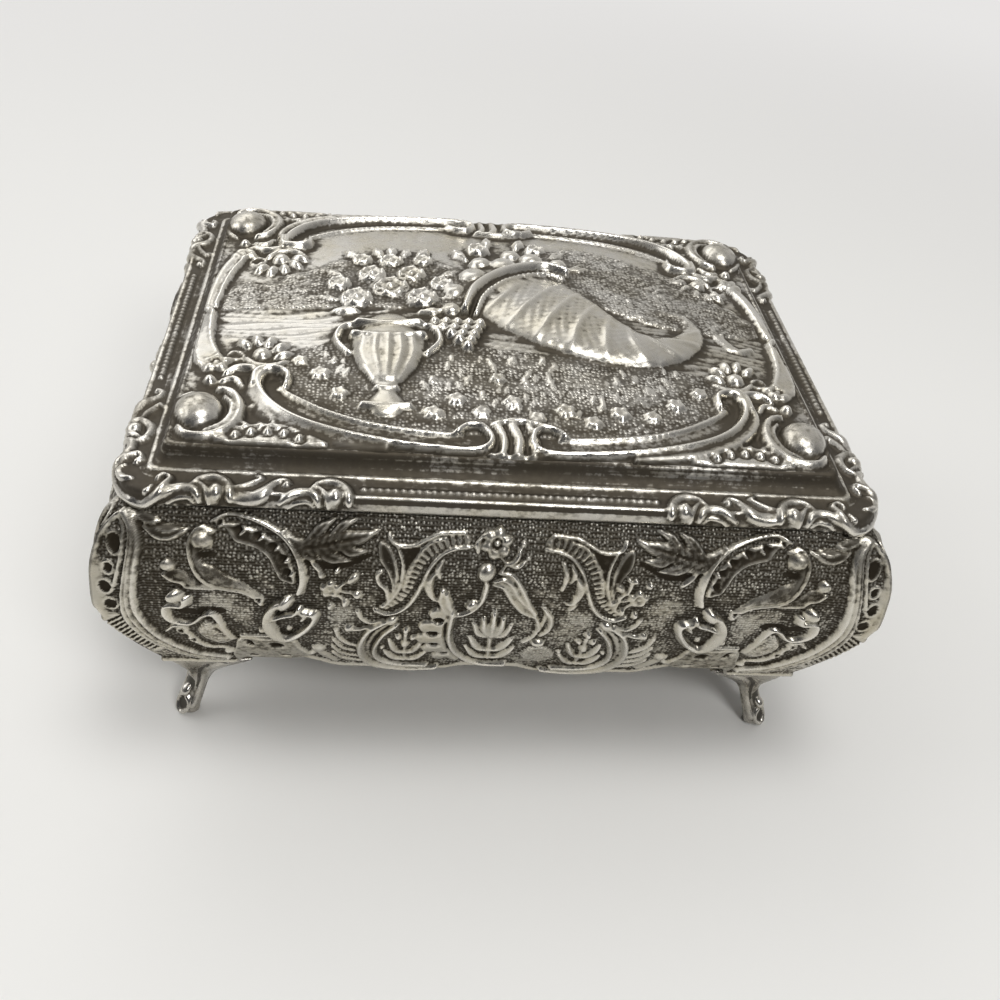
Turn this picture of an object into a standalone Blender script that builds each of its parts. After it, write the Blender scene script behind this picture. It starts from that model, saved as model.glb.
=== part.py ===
# Footed trinket box with a hinged, domed lid. Four cast, bulging walls are mitred and soldered at the
# corners over four curved feet, with a floor plate, two small riveted hinges and a velvet lining.
# Metres, +Z up, the origin on the table under the middle of the box, the front towards -Y.

from math import cos, pi, sin, sqrt

import bmesh
import bpy
from mathutils import Matrix, Vector

# Whole box
lid_width = 0.1200        # left to right over the lid's rim
lid_depth = 0.0960        # front to back over the lid's rim
seam_height = 0.0530      # top edge of the walls above the table
fit_gap = 0.0003          # gap between pieces that are soldered, riveted or laid together
overrun = 0.0010          # how far a cutter passes the face that it cuts

# Walls
wall_thickness = 0.0022
wall_base = 0.0155        # lowest edge of the walls above the table
bulge_height = 0.0395     # widest line of the walls above the table
bulge_out = 0.0036        # widest line, outside the lid's rim
base_tuck = 0.0040        # lowest edge, inside the lid's rim
mouth_tuck = 0.0008       # top edge, inside the lid's rim
mouth_curve = 2.4         # how late the wall turns in under the lid
apron_rise = 0.0045       # how far the scallops rise in the lower edge
column_shares = (0.00, 0.07, 0.11, 0.15, 0.30, 0.45, 0.49, 0.53, 0.57, 0.64, 0.71, 0.75, 0.79, 0.90,
                 1.00)
apron_shares = ((0.00, 0.5), (0.07, 0.5), (0.15, 0.0), (0.45, 0.0), (0.57, 1.0), (0.71, 1.0),
                (0.79, 0.0), (1.00, 0.0))
row_shares = (0.00, 0.15, 0.30, 0.45, 0.60, 0.75, 0.89, 1.00)
inner_row_shares = (1.00, 0.89, 0.74, 0.57, 0.39, 0.20, 0.00)

# Cast relief on the walls: each scroll's route in shares of the wall's half length and height
relief_height = 0.0009
relief_sink = 0.0008      # how deep the underside of a relief is sunk in its casting
relief_seat = 0.0003      # how far a relief's shoulders lie under the surface
moulding_base_share = 0.5 # half width of a moulding's underside, as a share of its half width
moulding_half = 0.0017    # border moulding beside each corner
moulding_taper_share = 0.8
scroll_half = 0.0010
scroll_taper_share = 0.5
leaf_half = 0.0019        # leaves beside the scrolls
leaf_taper_share = 0.3
bud_radius = 0.0014
moulding_shares = ((0.950, 0.970), (0.930, 0.870), (0.905, 0.710), (0.905, 0.550), (0.895, 0.390),
                   (0.862, 0.230), (0.815, 0.145), (0.760, 0.125))
wall_scroll_shares = (
    ((0.740, 0.955), (0.625, 0.945), (0.550, 0.840), (0.515, 0.690)),
    ((0.250, 0.560), (0.335, 0.430), (0.350, 0.240), (0.290, 0.090), (0.190, 0.020), (0.085, 0.045)),
)
wall_leaf_shares = (
    ((0.755, 0.875), (0.780, 0.780), (0.715, 0.690), (0.640, 0.590)),
    ((0.105, 0.930), (0.185, 0.860), (0.225, 0.735), (0.315, 0.610)),
)
wall_bud_shares = ((0.110, 0.390),)

# Feet
foot_leg = 0.0115         # reach along each wall at the top
foot_waist_inset = 0.0064 # thinnest part of the leg, inside the lid's rim
foot_toe_inset = 0.0042   # toe, inside the lid's rim
foot_toe_thickness = 0.0030
foot_tang = 0.0034        # tab that rises behind the walls for the solder
foot_tang_thickness = 0.0015
foot_corner = 0.0009
foot_ball_radius = 0.0015
foot_ball_share = 0.42    # height of the ball, as a share of the foot's
# height, reach, waist and thickness of each station, as shares
foot_station_shares = ((0.00, 0.36, 0.00, 0.0), (0.08, 0.40, 0.06, 0.0), (0.26, 0.37, 0.55, 0.0),
                       (0.46, 0.38, 0.95, 0.0), (0.64, 0.47, 1.00, 0.1), (0.80, 0.62, 0.70, 0.3),
                       (0.92, 0.82, 0.25, 0.7), (1.00, 1.00, 0.00, 1.0))

# Floor and lining
floor_height = 0.0206     # underside of the floor plate above the table
floor_thickness = 0.0010
lining_thickness = 0.0012
lining_drop = 0.0014      # top edge of the lining, below the walls' top edge
pad_thickness = 0.0024
pad_crown = 0.0006
pad_edge = 0.0012         # rounded edge of a pad
lining_row_shares = (0.00, 0.20, 0.40, 0.60, 0.80, 1.00)
lining_column_shares = (-1.0, 1.0)

# Lid
rim_height = 0.0030
rim_round = 0.0012        # rounded edge of the rim
rim_corner = 0.0060
land_width = 0.0055       # flat underside of the rim that meets the walls
shelf_width = 0.0036      # ledge behind the rim, which holds a row of beads
shelf_rise = 0.0003
plateau_inset = 0.0066    # top edge of the cove, inside the lid's rim
plateau_rise = 0.0036     # top edge of the cove, above the rim
dome_rise = 0.0040        # middle of the lid, above the cove
lid_thickness = 0.0018
recess_depth = 0.0021     # straight side of the hollow under the lid
dome_inset_shares = (0.16, 0.34, 0.54, 0.76)
pad_inset_shares = (0.5,)
frame_half = 0.0031       # oval moulding, half its width
frame_height = 0.0013
frame_inset = 0.0094      # middle of the oval moulding, inside the lid's rim
boss_radius = 0.0058
boss_height = 0.0020
boss_inset_x = 0.0110     # middle of a corner boss, inside the rim's side
boss_inset_y = 0.0145     # middle of a corner boss, inside the rim's front or back
clasp_radius = 0.0046     # clasp in the middle of the frame's front and back
clasp_height = 0.0019

# Cast picture on the lid: routes in shares of the lid's half width and half depth
form_base_share = 0.95    # half width of a form's underside, as a share of its half width
horn_half = 0.0112        # horn of plenty, half its width at the mouth
horn_height = 0.0021
horn_shares = ((0.050, 0.104), (0.150, -0.031), (0.267, -0.156), (0.400, -0.229), (0.517, -0.198),
               (0.593, -0.088), (0.583, 0.033), (0.520, 0.071))
horn_half_shares = (1.00, 0.97, 0.85, 0.66, 0.43, 0.27, 0.17, 0.10)
urn_half = 0.0064
urn_height = 0.0018
urn_shares = ((-0.333, -0.630), (-0.333, -0.560), (-0.333, -0.500), (-0.333, -0.400), (-0.333, -0.290),
              (-0.333, -0.190))
urn_half_shares = (0.50, 0.26, 0.55, 0.95, 1.00, 0.68)
bouquet_radius = 0.0100
bouquet_height = 0.0017
bouquet_share = (-0.333, 0.140)
fruit_radius = 0.0032
fruit_height = 0.0021
fruit_shares = ((-0.073, 0.196), (0.027, 0.321), (-0.137, 0.075), (0.123, 0.408), (-0.130, -0.200))

# Cast scrolls on the lid's rim
rim_scroll_half = 0.0013
rim_scroll_height = 0.0010
rim_scroll_reach = 0.0050 # how far a corner's scroll runs along each side past the rounded corner
rim_leaf_half = 0.0042    # leaf beside each corner scroll, half its length
rim_leaf_setback = 0.0165 # middle of the leaf from the lid's corner

# Padding in the lid
lid_pad_rise = 0.0009     # edge of the lid's padding, above the rim's underside
lid_pad_thickness = 0.0010

# Hinges
hinge_spread = 0.0300     # middle of each hinge from the middle of the box
hinge_length = 0.0140
knuckle_radius = 0.0015
knuckle_middle = 0.0050   # length of the lid's knuckle
knuckle_play = 0.0003     # gap between knuckles, and from them to the castings
pin_radius = 0.0007
pin_bore = 0.0009
pin_head_radius = 0.0011
pin_head = 0.0005
leaf_thickness = 0.0007
leaf_width = 0.0047
lug_height = 0.0034       # block behind the back wall's top edge that carries a leaf
lug_row_shares = (0.00, 0.30, 0.65, 1.00)
rivet_radius = 0.0007
rivet_bore = 0.0010
rivet_head_radius = 0.0012
rivet_head = 0.0005
rivet_edge = 0.0028       # each rivet from the end of its leaf
rivet_setback = 0.0019    # each rivet from the inner edge of its leaf
lid_rivet_depth = 0.0010  # how far a lid rivet goes into the casting past its leaf

# Counts
corner_steps = 3
long_steps = 8
short_steps = 6
oval_steps = 40
sweep_steps = 2           # stations between two points of a scroll's route
arch_steps = 3            # faces over the back of a moulding
horn_arch_steps = 4
rim_scroll_steps = 4      # stations of a rim scroll round its corner
round_steps = 10
cove_steps = 3

# Sizes that follow
half_width = lid_width / 2
half_depth = lid_depth / 2
wall_height = seam_height - wall_base
lid_base = seam_height + fit_gap
shelf_height = lid_base + rim_height + shelf_rise
plateau_height = lid_base + rim_height + plateau_rise
floor_top = floor_height + floor_thickness
hinge_y = half_depth + knuckle_radius + knuckle_play
hinge_z = seam_height + fit_gap / 2
leaf_back = half_depth
leaf_front = leaf_back - leaf_width
rivet_y = leaf_front + rivet_setback
rivet_spread = hinge_length / 2 - rivet_edge
lug_front = leaf_front - fit_gap
lug_low = seam_height - lug_height


def material(name, colour, roughness, metallic):
    made = bpy.data.materials.new(name)
    made.use_nodes = True
    shader = made.node_tree.nodes["Principled BSDF"]
    shader.inputs["Base Color"].default_value = (*colour, 1.0)
    shader.inputs["Roughness"].default_value = roughness
    shader.inputs["Metallic"].default_value = metallic
    return made


def add_object(name, mesh, finish, mover=None):
    made = bpy.data.objects.new(name, mesh)
    made.data.materials.append(finish)
    bpy.context.scene.collection.objects.link(made)
    if mover is not None:
        made.parent = mover
        made.location = -mover.location
    return made


def finish_mesh(name, bm):
    bmesh.ops.recalc_face_normals(bm, faces=bm.faces)
    mesh = bpy.data.meshes.new(name)
    bm.to_mesh(mesh)
    bm.free()
    mesh.shade_smooth()
    mesh.set_sharp_from_angle(angle=pi / 5)
    return mesh


# A skin through a row of outlines that all have the same number of points, with its ends filled or joined
def loft(name, outlines, ring=False):
    bm = bmesh.new()
    rows = [[bm.verts.new(point) for point in outline] for outline in outlines]
    ends = rows[1:] + rows[:1] if ring else rows[1:]
    for here, there in zip(rows, ends):
        for index in range(len(here)):
            follow = (index + 1) % len(here)
            bm.faces.new((here[index], here[follow], there[follow], there[index]))
    if not ring:
        bm.faces.new(rows[0])
        bm.faces.new(rows[-1])
    return finish_mesh(name, bm)


def block(low, high):
    bm = bmesh.new()
    size = Vector(high) - Vector(low)
    bmesh.ops.create_cube(bm, size=1.0)
    bmesh.ops.scale(bm, vec=size, verts=bm.verts)
    bmesh.ops.translate(bm, vec=Vector(low) + size / 2, verts=bm.verts)
    return finish_mesh("block", bm)


# A straight rod or cone from one point to another
def rod(start, end, radius, end_radius=None):
    bm = bmesh.new()
    run = Vector(end) - Vector(start)
    last = radius if end_radius is None else end_radius
    bmesh.ops.create_cone(bm, cap_ends=True, segments=round_steps, radius1=radius, radius2=last,
                          depth=run.length)
    turn = Vector((0, 0, 1)).rotation_difference(run).to_matrix().to_4x4()
    bmesh.ops.transform(bm, matrix=Matrix.Translation(Vector(start) + run / 2) @ turn, verts=bm.verts)
    return finish_mesh("rod", bm)


# A ball, flattened along the direction that it stands out in
def ball(middle, radius, height=None, up=Vector((0, 0, 1))):
    bm = bmesh.new()
    bmesh.ops.create_icosphere(bm, subdivisions=2, radius=1.0)
    tall = radius if height is None else height
    bmesh.ops.scale(bm, vec=(radius, radius, tall), verts=bm.verts)
    turn = Vector((0, 0, 1)).rotation_difference(up).to_matrix().to_4x4()
    bmesh.ops.transform(bm, matrix=Matrix.Translation(middle) @ turn, verts=bm.verts)
    return finish_mesh("ball", bm)


# A low rounded lump with its own half size along each axis, its middle a little under the surface
def pod(middle, half_sizes, up):
    bm = bmesh.new()
    bmesh.ops.create_icosphere(bm, subdivisions=1, radius=1.0)
    bmesh.ops.scale(bm, vec=half_sizes, verts=bm.verts)
    bmesh.ops.translate(bm, vec=middle - up * relief_seat, verts=bm.verts)
    return finish_mesh("pod", bm)


def shape_with(target, mesh, operation):
    helper = bpy.data.objects.new(target.name + "_" + operation.lower(), mesh)
    bpy.context.scene.collection.objects.link(helper)
    helper.parent = target.parent
    helper.location = target.location
    helper.rotation_euler = target.rotation_euler
    helper.hide_render = True
    helper.display_type = "WIRE"
    modifier = target.modifiers.new(operation.title(), "BOOLEAN")
    modifier.operation = operation
    modifier.object = helper


def cut(target, mesh):
    shape_with(target, mesh, "DIFFERENCE")


def fuse(target, mesh):
    shape_with(target, mesh, "UNION")


def eased(table, share):
    for (start, low), (end, high) in zip(table, table[1:]):
        if share <= end:
            step = (share - start) / (end - start)
            return low + (high - low) * step * step * (3 - 2 * step)
    return table[-1][1]


# Points on a smooth curve through the points of a route
def smooth_route(points, steps):
    points = [Vector(point) for point in points]
    padded = [2 * points[0] - points[1], *points, 2 * points[-1] - points[-2]]
    made = []
    for before, here, there, after in zip(padded, padded[1:], padded[2:], padded[3:]):
        for index in range(steps):
            t = index / steps
            leave, arrive = (there - before) / 2, (after - here) / 2
            made.append((2 * t ** 3 - 3 * t ** 2 + 1) * here + (t ** 3 - 2 * t ** 2 + t) * leave
                        + (3 * t ** 2 - 2 * t ** 3) * there + (t ** 3 - t ** 2) * arrive)
    made.append(points[-1])
    return made


# A rounded moulding that lies on a surface along a route, with its underside sunk in the casting
def moulding(points, ups, halves, height, ring=False, base_share=moulding_base_share, steps=arch_steps):
    outlines = []
    for index, (point, up, half) in enumerate(zip(points, ups, halves)):
        before = points[index - 1] if index or ring else point
        after = points[(index + 1) % len(points)] if ring or index + 1 < len(points) else point
        across = (after - before).cross(up).normalized()
        rise = across.cross(after - before).normalized()
        tall = height * half / max(halves)
        section = []
        for turn in (pi * step / steps for step in range(steps + 1)):
            section.append((cos(turn), (tall + relief_seat) * sin(turn) - relief_seat))
        section += [(-base_share, -relief_sink), (base_share, -relief_sink)]
        outlines.append([point + across * half * share + rise * level for share, level in section])
    return loft("moulding", outlines, ring)


# How far the wall's outer face stands outside the lid's rim at a height
def wall_offset(height):
    if height >= bulge_height:
        rise = (height - bulge_height) / (seam_height - bulge_height)
        return bulge_out - (bulge_out + mouth_tuck) * rise ** mouth_curve
    drop = (bulge_height - height) / (bulge_height - wall_base)
    return bulge_out - (bulge_out + base_tuck) * (1 - cos(pi / 2 * drop))


# A bent sheet along one side of the box, facing -Y, with its ends mitred to meet its neighbours
def side_panel(name, half_length, reach, columns, outer_rows, inner_rows, low_edge, top, setback,
               thickness):
    mitre_cut = fit_gap / sqrt(2)
    outlines = []
    for share in columns:
        low = low_edge(abs(share))
        outline = []
        for rows, depth in ((outer_rows, setback), (inner_rows, setback + thickness)):
            for row in rows:
                height = low + row * (top - low)
                offset = wall_offset(height) - depth
                across = share * (half_length + offset - mitre_cut)
                outline.append(Vector((across, -reach - offset, height)))
        outlines.append(outline)
    return loft(name, outlines)


def wall_point(half_length, reach, share, height):
    offset = wall_offset(height)
    return Vector((share * (half_length + offset), -reach - offset, height))


def wall_normal(height):
    step = wall_height / 1000
    low, high = max(height - step, wall_base), min(height + step, seam_height)
    return Vector((0, low - high, wall_offset(low) - wall_offset(high))).normalized()


def wall_moulding(wall, half_length, reach, shares, half, taper_share, side):
    spots = [(share, wall_base + rise * wall_height, 0) for share, rise in shares]
    route = smooth_route(spots, sweep_steps)
    points = [wall_point(half_length, reach, side * share, height) for share, height, flat in route]
    ups = [wall_normal(height) for share, height, flat in route]
    last = len(points) - 1
    halves = []
    for index in range(last + 1):
        halves.append(half * (taper_share + (1 - taper_share) * sin(pi * index / last)))
    fuse(wall, moulding(points, ups, halves, relief_height))


def low_edge(share):
    return wall_base + apron_rise * eased(apron_shares, share)


def make_wall(name, half_length, reach, turn, finish):
    columns = [-share for share in reversed(column_shares)] + list(column_shares[1:])
    mesh = side_panel(name, half_length, reach, columns, row_shares, inner_row_shares, low_edge,
                      seam_height, 0, wall_thickness)
    wall = add_object(name, mesh, finish)
    wall.rotation_euler.z = turn
    for side in (-1, 1):
        wall_moulding(wall, half_length, reach, moulding_shares, moulding_half, moulding_taper_share, side)
        for shares in wall_scroll_shares:
            wall_moulding(wall, half_length, reach, shares, scroll_half, scroll_taper_share, side)
        for shares in wall_leaf_shares:
            wall_moulding(wall, half_length, reach, shares, leaf_half, leaf_taper_share, side)
        for share, rise in wall_bud_shares:
            height = wall_base + rise * wall_height
            middle = wall_point(half_length, reach, side * share, height)
            half_sizes = (bud_radius, relief_height, bud_radius)
            fuse(wall, pod(middle, half_sizes, wall_normal(height)))
    return wall


# The block behind the back wall's top edge, with the slot that the hinge leaf lies in
def add_lug(wall, side):
    middle = side * hinge_spread
    start, end = middle - hinge_length / 2, middle + hinge_length / 2
    outline = [Vector((start, -lug_front, lug_low)), Vector((start, -lug_front, seam_height))]
    for share in lug_row_shares:
        height = seam_height - share * lug_height
        outline.append(Vector((start, -half_depth - wall_offset(height) + wall_thickness / 2, height)))
    outline.append(Vector((start, -half_depth - wall_offset(lug_low) + wall_thickness, lug_low)))
    fuse(wall, loft("lug", [outline, [point + Vector((end - start, 0, 0)) for point in outline]]))
    floor = seam_height - leaf_thickness - fit_gap
    cut(wall, block((start - fit_gap, -half_depth - overrun, floor),
                    (end + fit_gap, -lug_front + overrun, seam_height + overrun)))
    for way in (-1, 1):
        spot = Vector((middle + way * rivet_spread, -rivet_y, 0))
        cut(wall, rod(spot + Vector((0, 0, lug_low - overrun)), spot + Vector((0, 0, seam_height)),
                      rivet_bore))


def make_foot(name, side, end, finish):
    top = wall_base - fit_gap
    top_thickness = wall_thickness + fit_gap + foot_tang_thickness / 2
    stations = []
    for height, reach, waist, thick in foot_station_shares:
        outer = base_tuck if height == 1 else foot_toe_inset
        inset = outer + (foot_waist_inset - outer) * waist
        stations.append((height * top, inset, reach * foot_leg,
                         foot_toe_thickness + (top_thickness - foot_toe_thickness) * thick))
    tang_inset = base_tuck + wall_thickness + fit_gap
    for height in (top, wall_base + foot_tang):
        stations.append((height, tang_inset, base_tuck + foot_leg - foot_corner - tang_inset,
                         foot_tang_thickness))
    outlines = []
    for height, inset, reach, thickness in stations:
        corner = (half_width - inset, half_depth - inset)
        steps = ((-reach, 0), (-foot_corner, 0), (0, -foot_corner), (0, -reach), (-thickness, -reach),
                 (-thickness, -thickness), (-reach, -thickness))
        outlines.append([Vector((side * (corner[0] + x), end * (corner[1] + y), height)) for x, y in steps])
    foot = add_object(name, loft(name, outlines), finish)
    height = foot_ball_share * top
    inset = foot_waist_inset + foot_corner / 2
    middle = Vector((side * (half_width - inset), end * (half_depth - inset), height))
    fuse(foot, ball(middle, foot_ball_radius))
    return foot


# A rectangle with rounded corners, its sides divided so that a surface can bend
def rounded_outline(half_x, half_y, corner, height):
    quarter = []
    for index in range(long_steps // 2):
        quarter.append(((half_x - corner) * 2 * index / long_steps, half_y))
    for index in range(corner_steps + 1):
        turn = pi / 2 * index / corner_steps
        quarter.append((half_x - corner + corner * sin(turn), half_y - corner + corner * cos(turn)))
    for index in range(1, short_steps // 2):
        quarter.append((half_x, (half_y - corner) * (1 - 2 * index / short_steps)))
    points = [*quarter, (half_x, 0)]
    points += [(x, -y) for x, y in reversed(quarter)]
    points += [(-x, -y) for x, y in quarter[1:]]
    points += [(-half_x, 0)]
    points += [(-x, y) for x, y in reversed(quarter[1:])]
    return [Vector((x, y, height(x, y) if callable(height) else height)) for x, y in points]


# Height of the lid's top inside its cove
def dome_height(x, y):
    across = min(abs(x) / (half_width - plateau_inset), 1)
    along = min(abs(y) / (half_depth - plateau_inset), 1)
    return plateau_height + dome_rise * (1 - across ** 2) * (1 - along ** 2)


def dome_normal(x, y):
    step = plateau_inset / 100
    slope_x = (dome_height(x + step, y) - dome_height(x - step, y)) / (2 * step)
    slope_y = (dome_height(x, y + step) - dome_height(x, y - step)) / (2 * step)
    return Vector((-slope_x, -slope_y, 1)).normalized()


def lid_ring(inset, height):
    corner = max(rim_corner - inset, rim_corner / 4)
    return rounded_outline(half_width - inset, half_depth - inset, corner, height)


# A long rounded form on the lid's top, its route in shares of the lid's half width and half depth
def lid_form(lid, shares, half, half_shares, height, steps=arch_steps):
    route = smooth_route([(x * half_width, y * half_depth, 0) for x, y in shares], sweep_steps)
    halves = []
    for index in range(len(route)):
        here, step = divmod(index, sweep_steps)
        there = min(here + 1, len(half_shares) - 1)
        blend = step / sweep_steps
        halves.append(half * (half_shares[here] * (1 - blend) + half_shares[there] * blend))
    points = [Vector((x, y, dome_height(x, y))) for x, y, flat in route]
    ups = [dome_normal(x, y) for x, y, flat in route]
    fuse(lid, moulding(points, ups, halves, height, base_share=form_base_share, steps=steps))


def lid_pod(lid, share, radius, height):
    x, y = share[0] * half_width, share[1] * half_depth
    fuse(lid, pod(Vector((x, y, dome_height(x, y))), (radius, radius, height), Vector((0, 0, 1))))


# Scroll round a corner of the rim, with a leaf along the rim on each side of it
def rim_scroll(lid, side, end):
    middle_height = lid_base + rim_height - rim_scroll_half
    centre = (half_width - rim_corner, half_depth - rim_corner)
    places = [(centre[0] - rim_scroll_reach, half_depth, 0, 1)]
    for index in range(rim_scroll_steps):
        turn = pi / 2 * (index + 1 / 2) / rim_scroll_steps
        out = (sin(turn), cos(turn))
        places.append((centre[0] + rim_corner * out[0], centre[1] + rim_corner * out[1], *out))
    places.append((half_width, centre[1] - rim_scroll_reach, 1, 0))
    points = [Vector((side * x, end * y, middle_height)) for x, y, out_x, out_y in places]
    ups = [Vector((side * out_x, end * out_y, 0)) for x, y, out_x, out_y in places]
    fuse(lid, moulding(points, ups, [rim_scroll_half] * len(points), rim_scroll_height))
    leaves = (((half_width - rim_leaf_setback, half_depth), (rim_leaf_half, rim_scroll_height), (0, end)),
              ((half_width, half_depth - rim_leaf_setback), (rim_scroll_height, rim_leaf_half), (side, 0)))
    for (x, y), half_sizes, out in leaves:
        middle = Vector((side * x, end * y, middle_height))
        fuse(lid, pod(middle, (*half_sizes, rim_scroll_half), Vector((*out, 0))))


def make_lid(finish, mover):
    outside = [lid_ring(rim_round / 2, lid_base), lid_ring(0, lid_base + rim_round),
               lid_ring(0, lid_base + rim_height - rim_round), lid_ring(rim_round, lid_base + rim_height),
               lid_ring(shelf_width, shelf_height)]
    for index in range(1, cove_steps + 1):
        turn = pi / 2 * index / cove_steps
        inset = shelf_width + (plateau_inset - shelf_width) * sin(turn)
        outside.append(lid_ring(inset, shelf_height + (plateau_height - shelf_height) * (1 - cos(turn))))
    span = half_depth - plateau_inset
    outside += [lid_ring(plateau_inset + share * span, dome_height) for share in dome_inset_shares]
    lining_inset = plateau_inset + lid_thickness
    inside = [lid_ring(land_width, lid_base), lid_ring(land_width, lid_base + recess_depth)]
    for share in (0, *dome_inset_shares):
        inside.append(lid_ring(lining_inset + share * (span - lid_thickness),
                               lambda x, y: dome_height(x, y) - lid_thickness))
    lid = add_object("lid", loft("lid", outside[::-1] + inside), finish, mover)
    turns = [2 * pi * index / oval_steps for index in range(oval_steps)]
    oval_x, oval_y = half_width - frame_inset, half_depth - frame_inset
    oval = [(oval_x * cos(turn), oval_y * sin(turn)) for turn in turns]
    points = [Vector((x, y, dome_height(x, y))) for x, y in oval]
    ups = [dome_normal(x, y) for x, y in oval]
    fuse(lid, moulding(points, ups, [frame_half] * oval_steps, frame_height, ring=True))
    for side in (-1, 1):
        for end in (-1, 1):
            x, y = side * (half_width - boss_inset_x), end * (half_depth - boss_inset_y)
            fuse(lid, ball(Vector((x, y, dome_height(x, y) - relief_seat)), boss_radius, boss_height))
            rim_scroll(lid, side, end)
    for end in (-1, 1):
        lid_pod(lid, (0, end * (1 - frame_inset / half_depth)), clasp_radius, clasp_height)
    lid_form(lid, urn_shares, urn_half, urn_half_shares, urn_height)
    lid_pod(lid, bouquet_share, bouquet_radius, bouquet_height)
    lid_form(lid, horn_shares, horn_half, horn_half_shares, horn_height, horn_arch_steps)
    for share in fruit_shares:
        lid_pod(lid, share, fruit_radius, fruit_height)
    for side in (-1, 1):
        middle = side * hinge_spread
        reach = hinge_length / 2 + fit_gap
        cut(lid, block((middle - reach, lug_front, lid_base - overrun),
                       (middle + reach, half_depth + overrun, lid_base + leaf_thickness + fit_gap)))
        for way in (-1, 1):
            spot = Vector((middle + way * rivet_spread, rivet_y, lid_base))
            deep = leaf_thickness + fit_gap + lid_rivet_depth + fit_gap
            cut(lid, rod(spot, spot + Vector((0, 0, deep)), rivet_bore))
    return lid


# A flat pad with rounded edges and a crowned face, which faces up or down
def make_pad(name, inset, face, thickness, crown, way, finish, mover=None):
    def crowned(x, y):
        across, along = x / (half_width - inset), y / (half_depth - inset)
        return face + way * crown * (1 - across ** 2) * (1 - along ** 2)
    rings = [lid_ring(inset, face - way * thickness),
             lid_ring(inset, face - way * pad_edge * thickness / pad_thickness),
             lid_ring(inset + pad_edge, crowned)]
    rings += [lid_ring(inset + pad_edge + share * (half_depth - inset - pad_edge), crowned)
              for share in pad_inset_shares]
    return add_object(name, loft(name, rings), finish, mover)


def make_leaf(name, side, low, knuckles, finish, mover=None):
    middle = side * hinge_spread
    half = hinge_length / 2
    edge = hinge_y - knuckle_radius - knuckle_play
    plate = block((middle - half, leaf_front, low), (middle + half, edge, low + leaf_thickness))
    leaf = add_object(name, plate, finish, mover)
    for start, end in knuckles:
        near, far = middle + start, middle + end
        fuse(leaf, block((near, edge - overrun, low), (far, hinge_y - pin_bore, low + leaf_thickness)))
        fuse(leaf, rod((near, hinge_y, hinge_z), (far, hinge_y, hinge_z), knuckle_radius))
    cut(leaf, rod((middle - half - overrun, hinge_y, hinge_z), (middle + half + overrun, hinge_y, hinge_z),
                  pin_bore))
    for way in (-1, 1):
        spot = Vector((middle + way * rivet_spread, rivet_y, low))
        cut(leaf, rod(spot - Vector((0, 0, overrun)), spot + Vector((0, 0, leaf_thickness + overrun)),
                      rivet_bore))
    return leaf


def make_pin(name, side, finish):
    middle = side * hinge_spread
    half = hinge_length / 2 + knuckle_play
    pin = add_object(name, rod((middle - half - pin_head / 2, hinge_y, hinge_z),
                               (middle + half + pin_head / 2, hinge_y, hinge_z), pin_radius), finish)
    for way in (-1, 1):
        inner, outer = middle + way * half, middle + way * (half + pin_head)
        fuse(pin, rod((inner, hinge_y, hinge_z), (outer, hinge_y, hinge_z), pin_head_radius))
    return pin


def make_rivet(name, x, low, high, heads, finish, mover=None):
    rivet = add_object(name, rod((x, rivet_y, low), (x, rivet_y, high), rivet_radius), finish, mover)
    for start, end in heads:
        fuse(rivet, rod((x, rivet_y, start), (x, rivet_y, end), rivet_head_radius))
    return rivet


def make_hinge(label, side, finish, rivet_finish, mover):
    half, middle = hinge_length / 2, knuckle_middle / 2
    outer_knuckles = ((-half, -middle - knuckle_play), (middle + knuckle_play, half))
    make_leaf(label + "_hinge_body_leaf", side, seam_height - leaf_thickness, outer_knuckles, finish)
    make_leaf(label + "_hinge_lid_leaf", side, lid_base, ((-middle, middle),), finish, mover)
    make_pin(label + "_hinge_pin", side, rivet_finish)
    for index, way in enumerate((-1, 1), 1):
        x = side * hinge_spread + way * rivet_spread
        head_top = lug_low - fit_gap
        make_rivet(f"{label}_hinge_body_rivet_{index}", x, head_top - rivet_head / 2, seam_height,
                   ((head_top - rivet_head, head_top),), rivet_finish)
        make_rivet(f"{label}_hinge_lid_rivet_{index}", x, lid_base,
                   lid_base + leaf_thickness + fit_gap + lid_rivet_depth, (), rivet_finish, mover)


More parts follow.
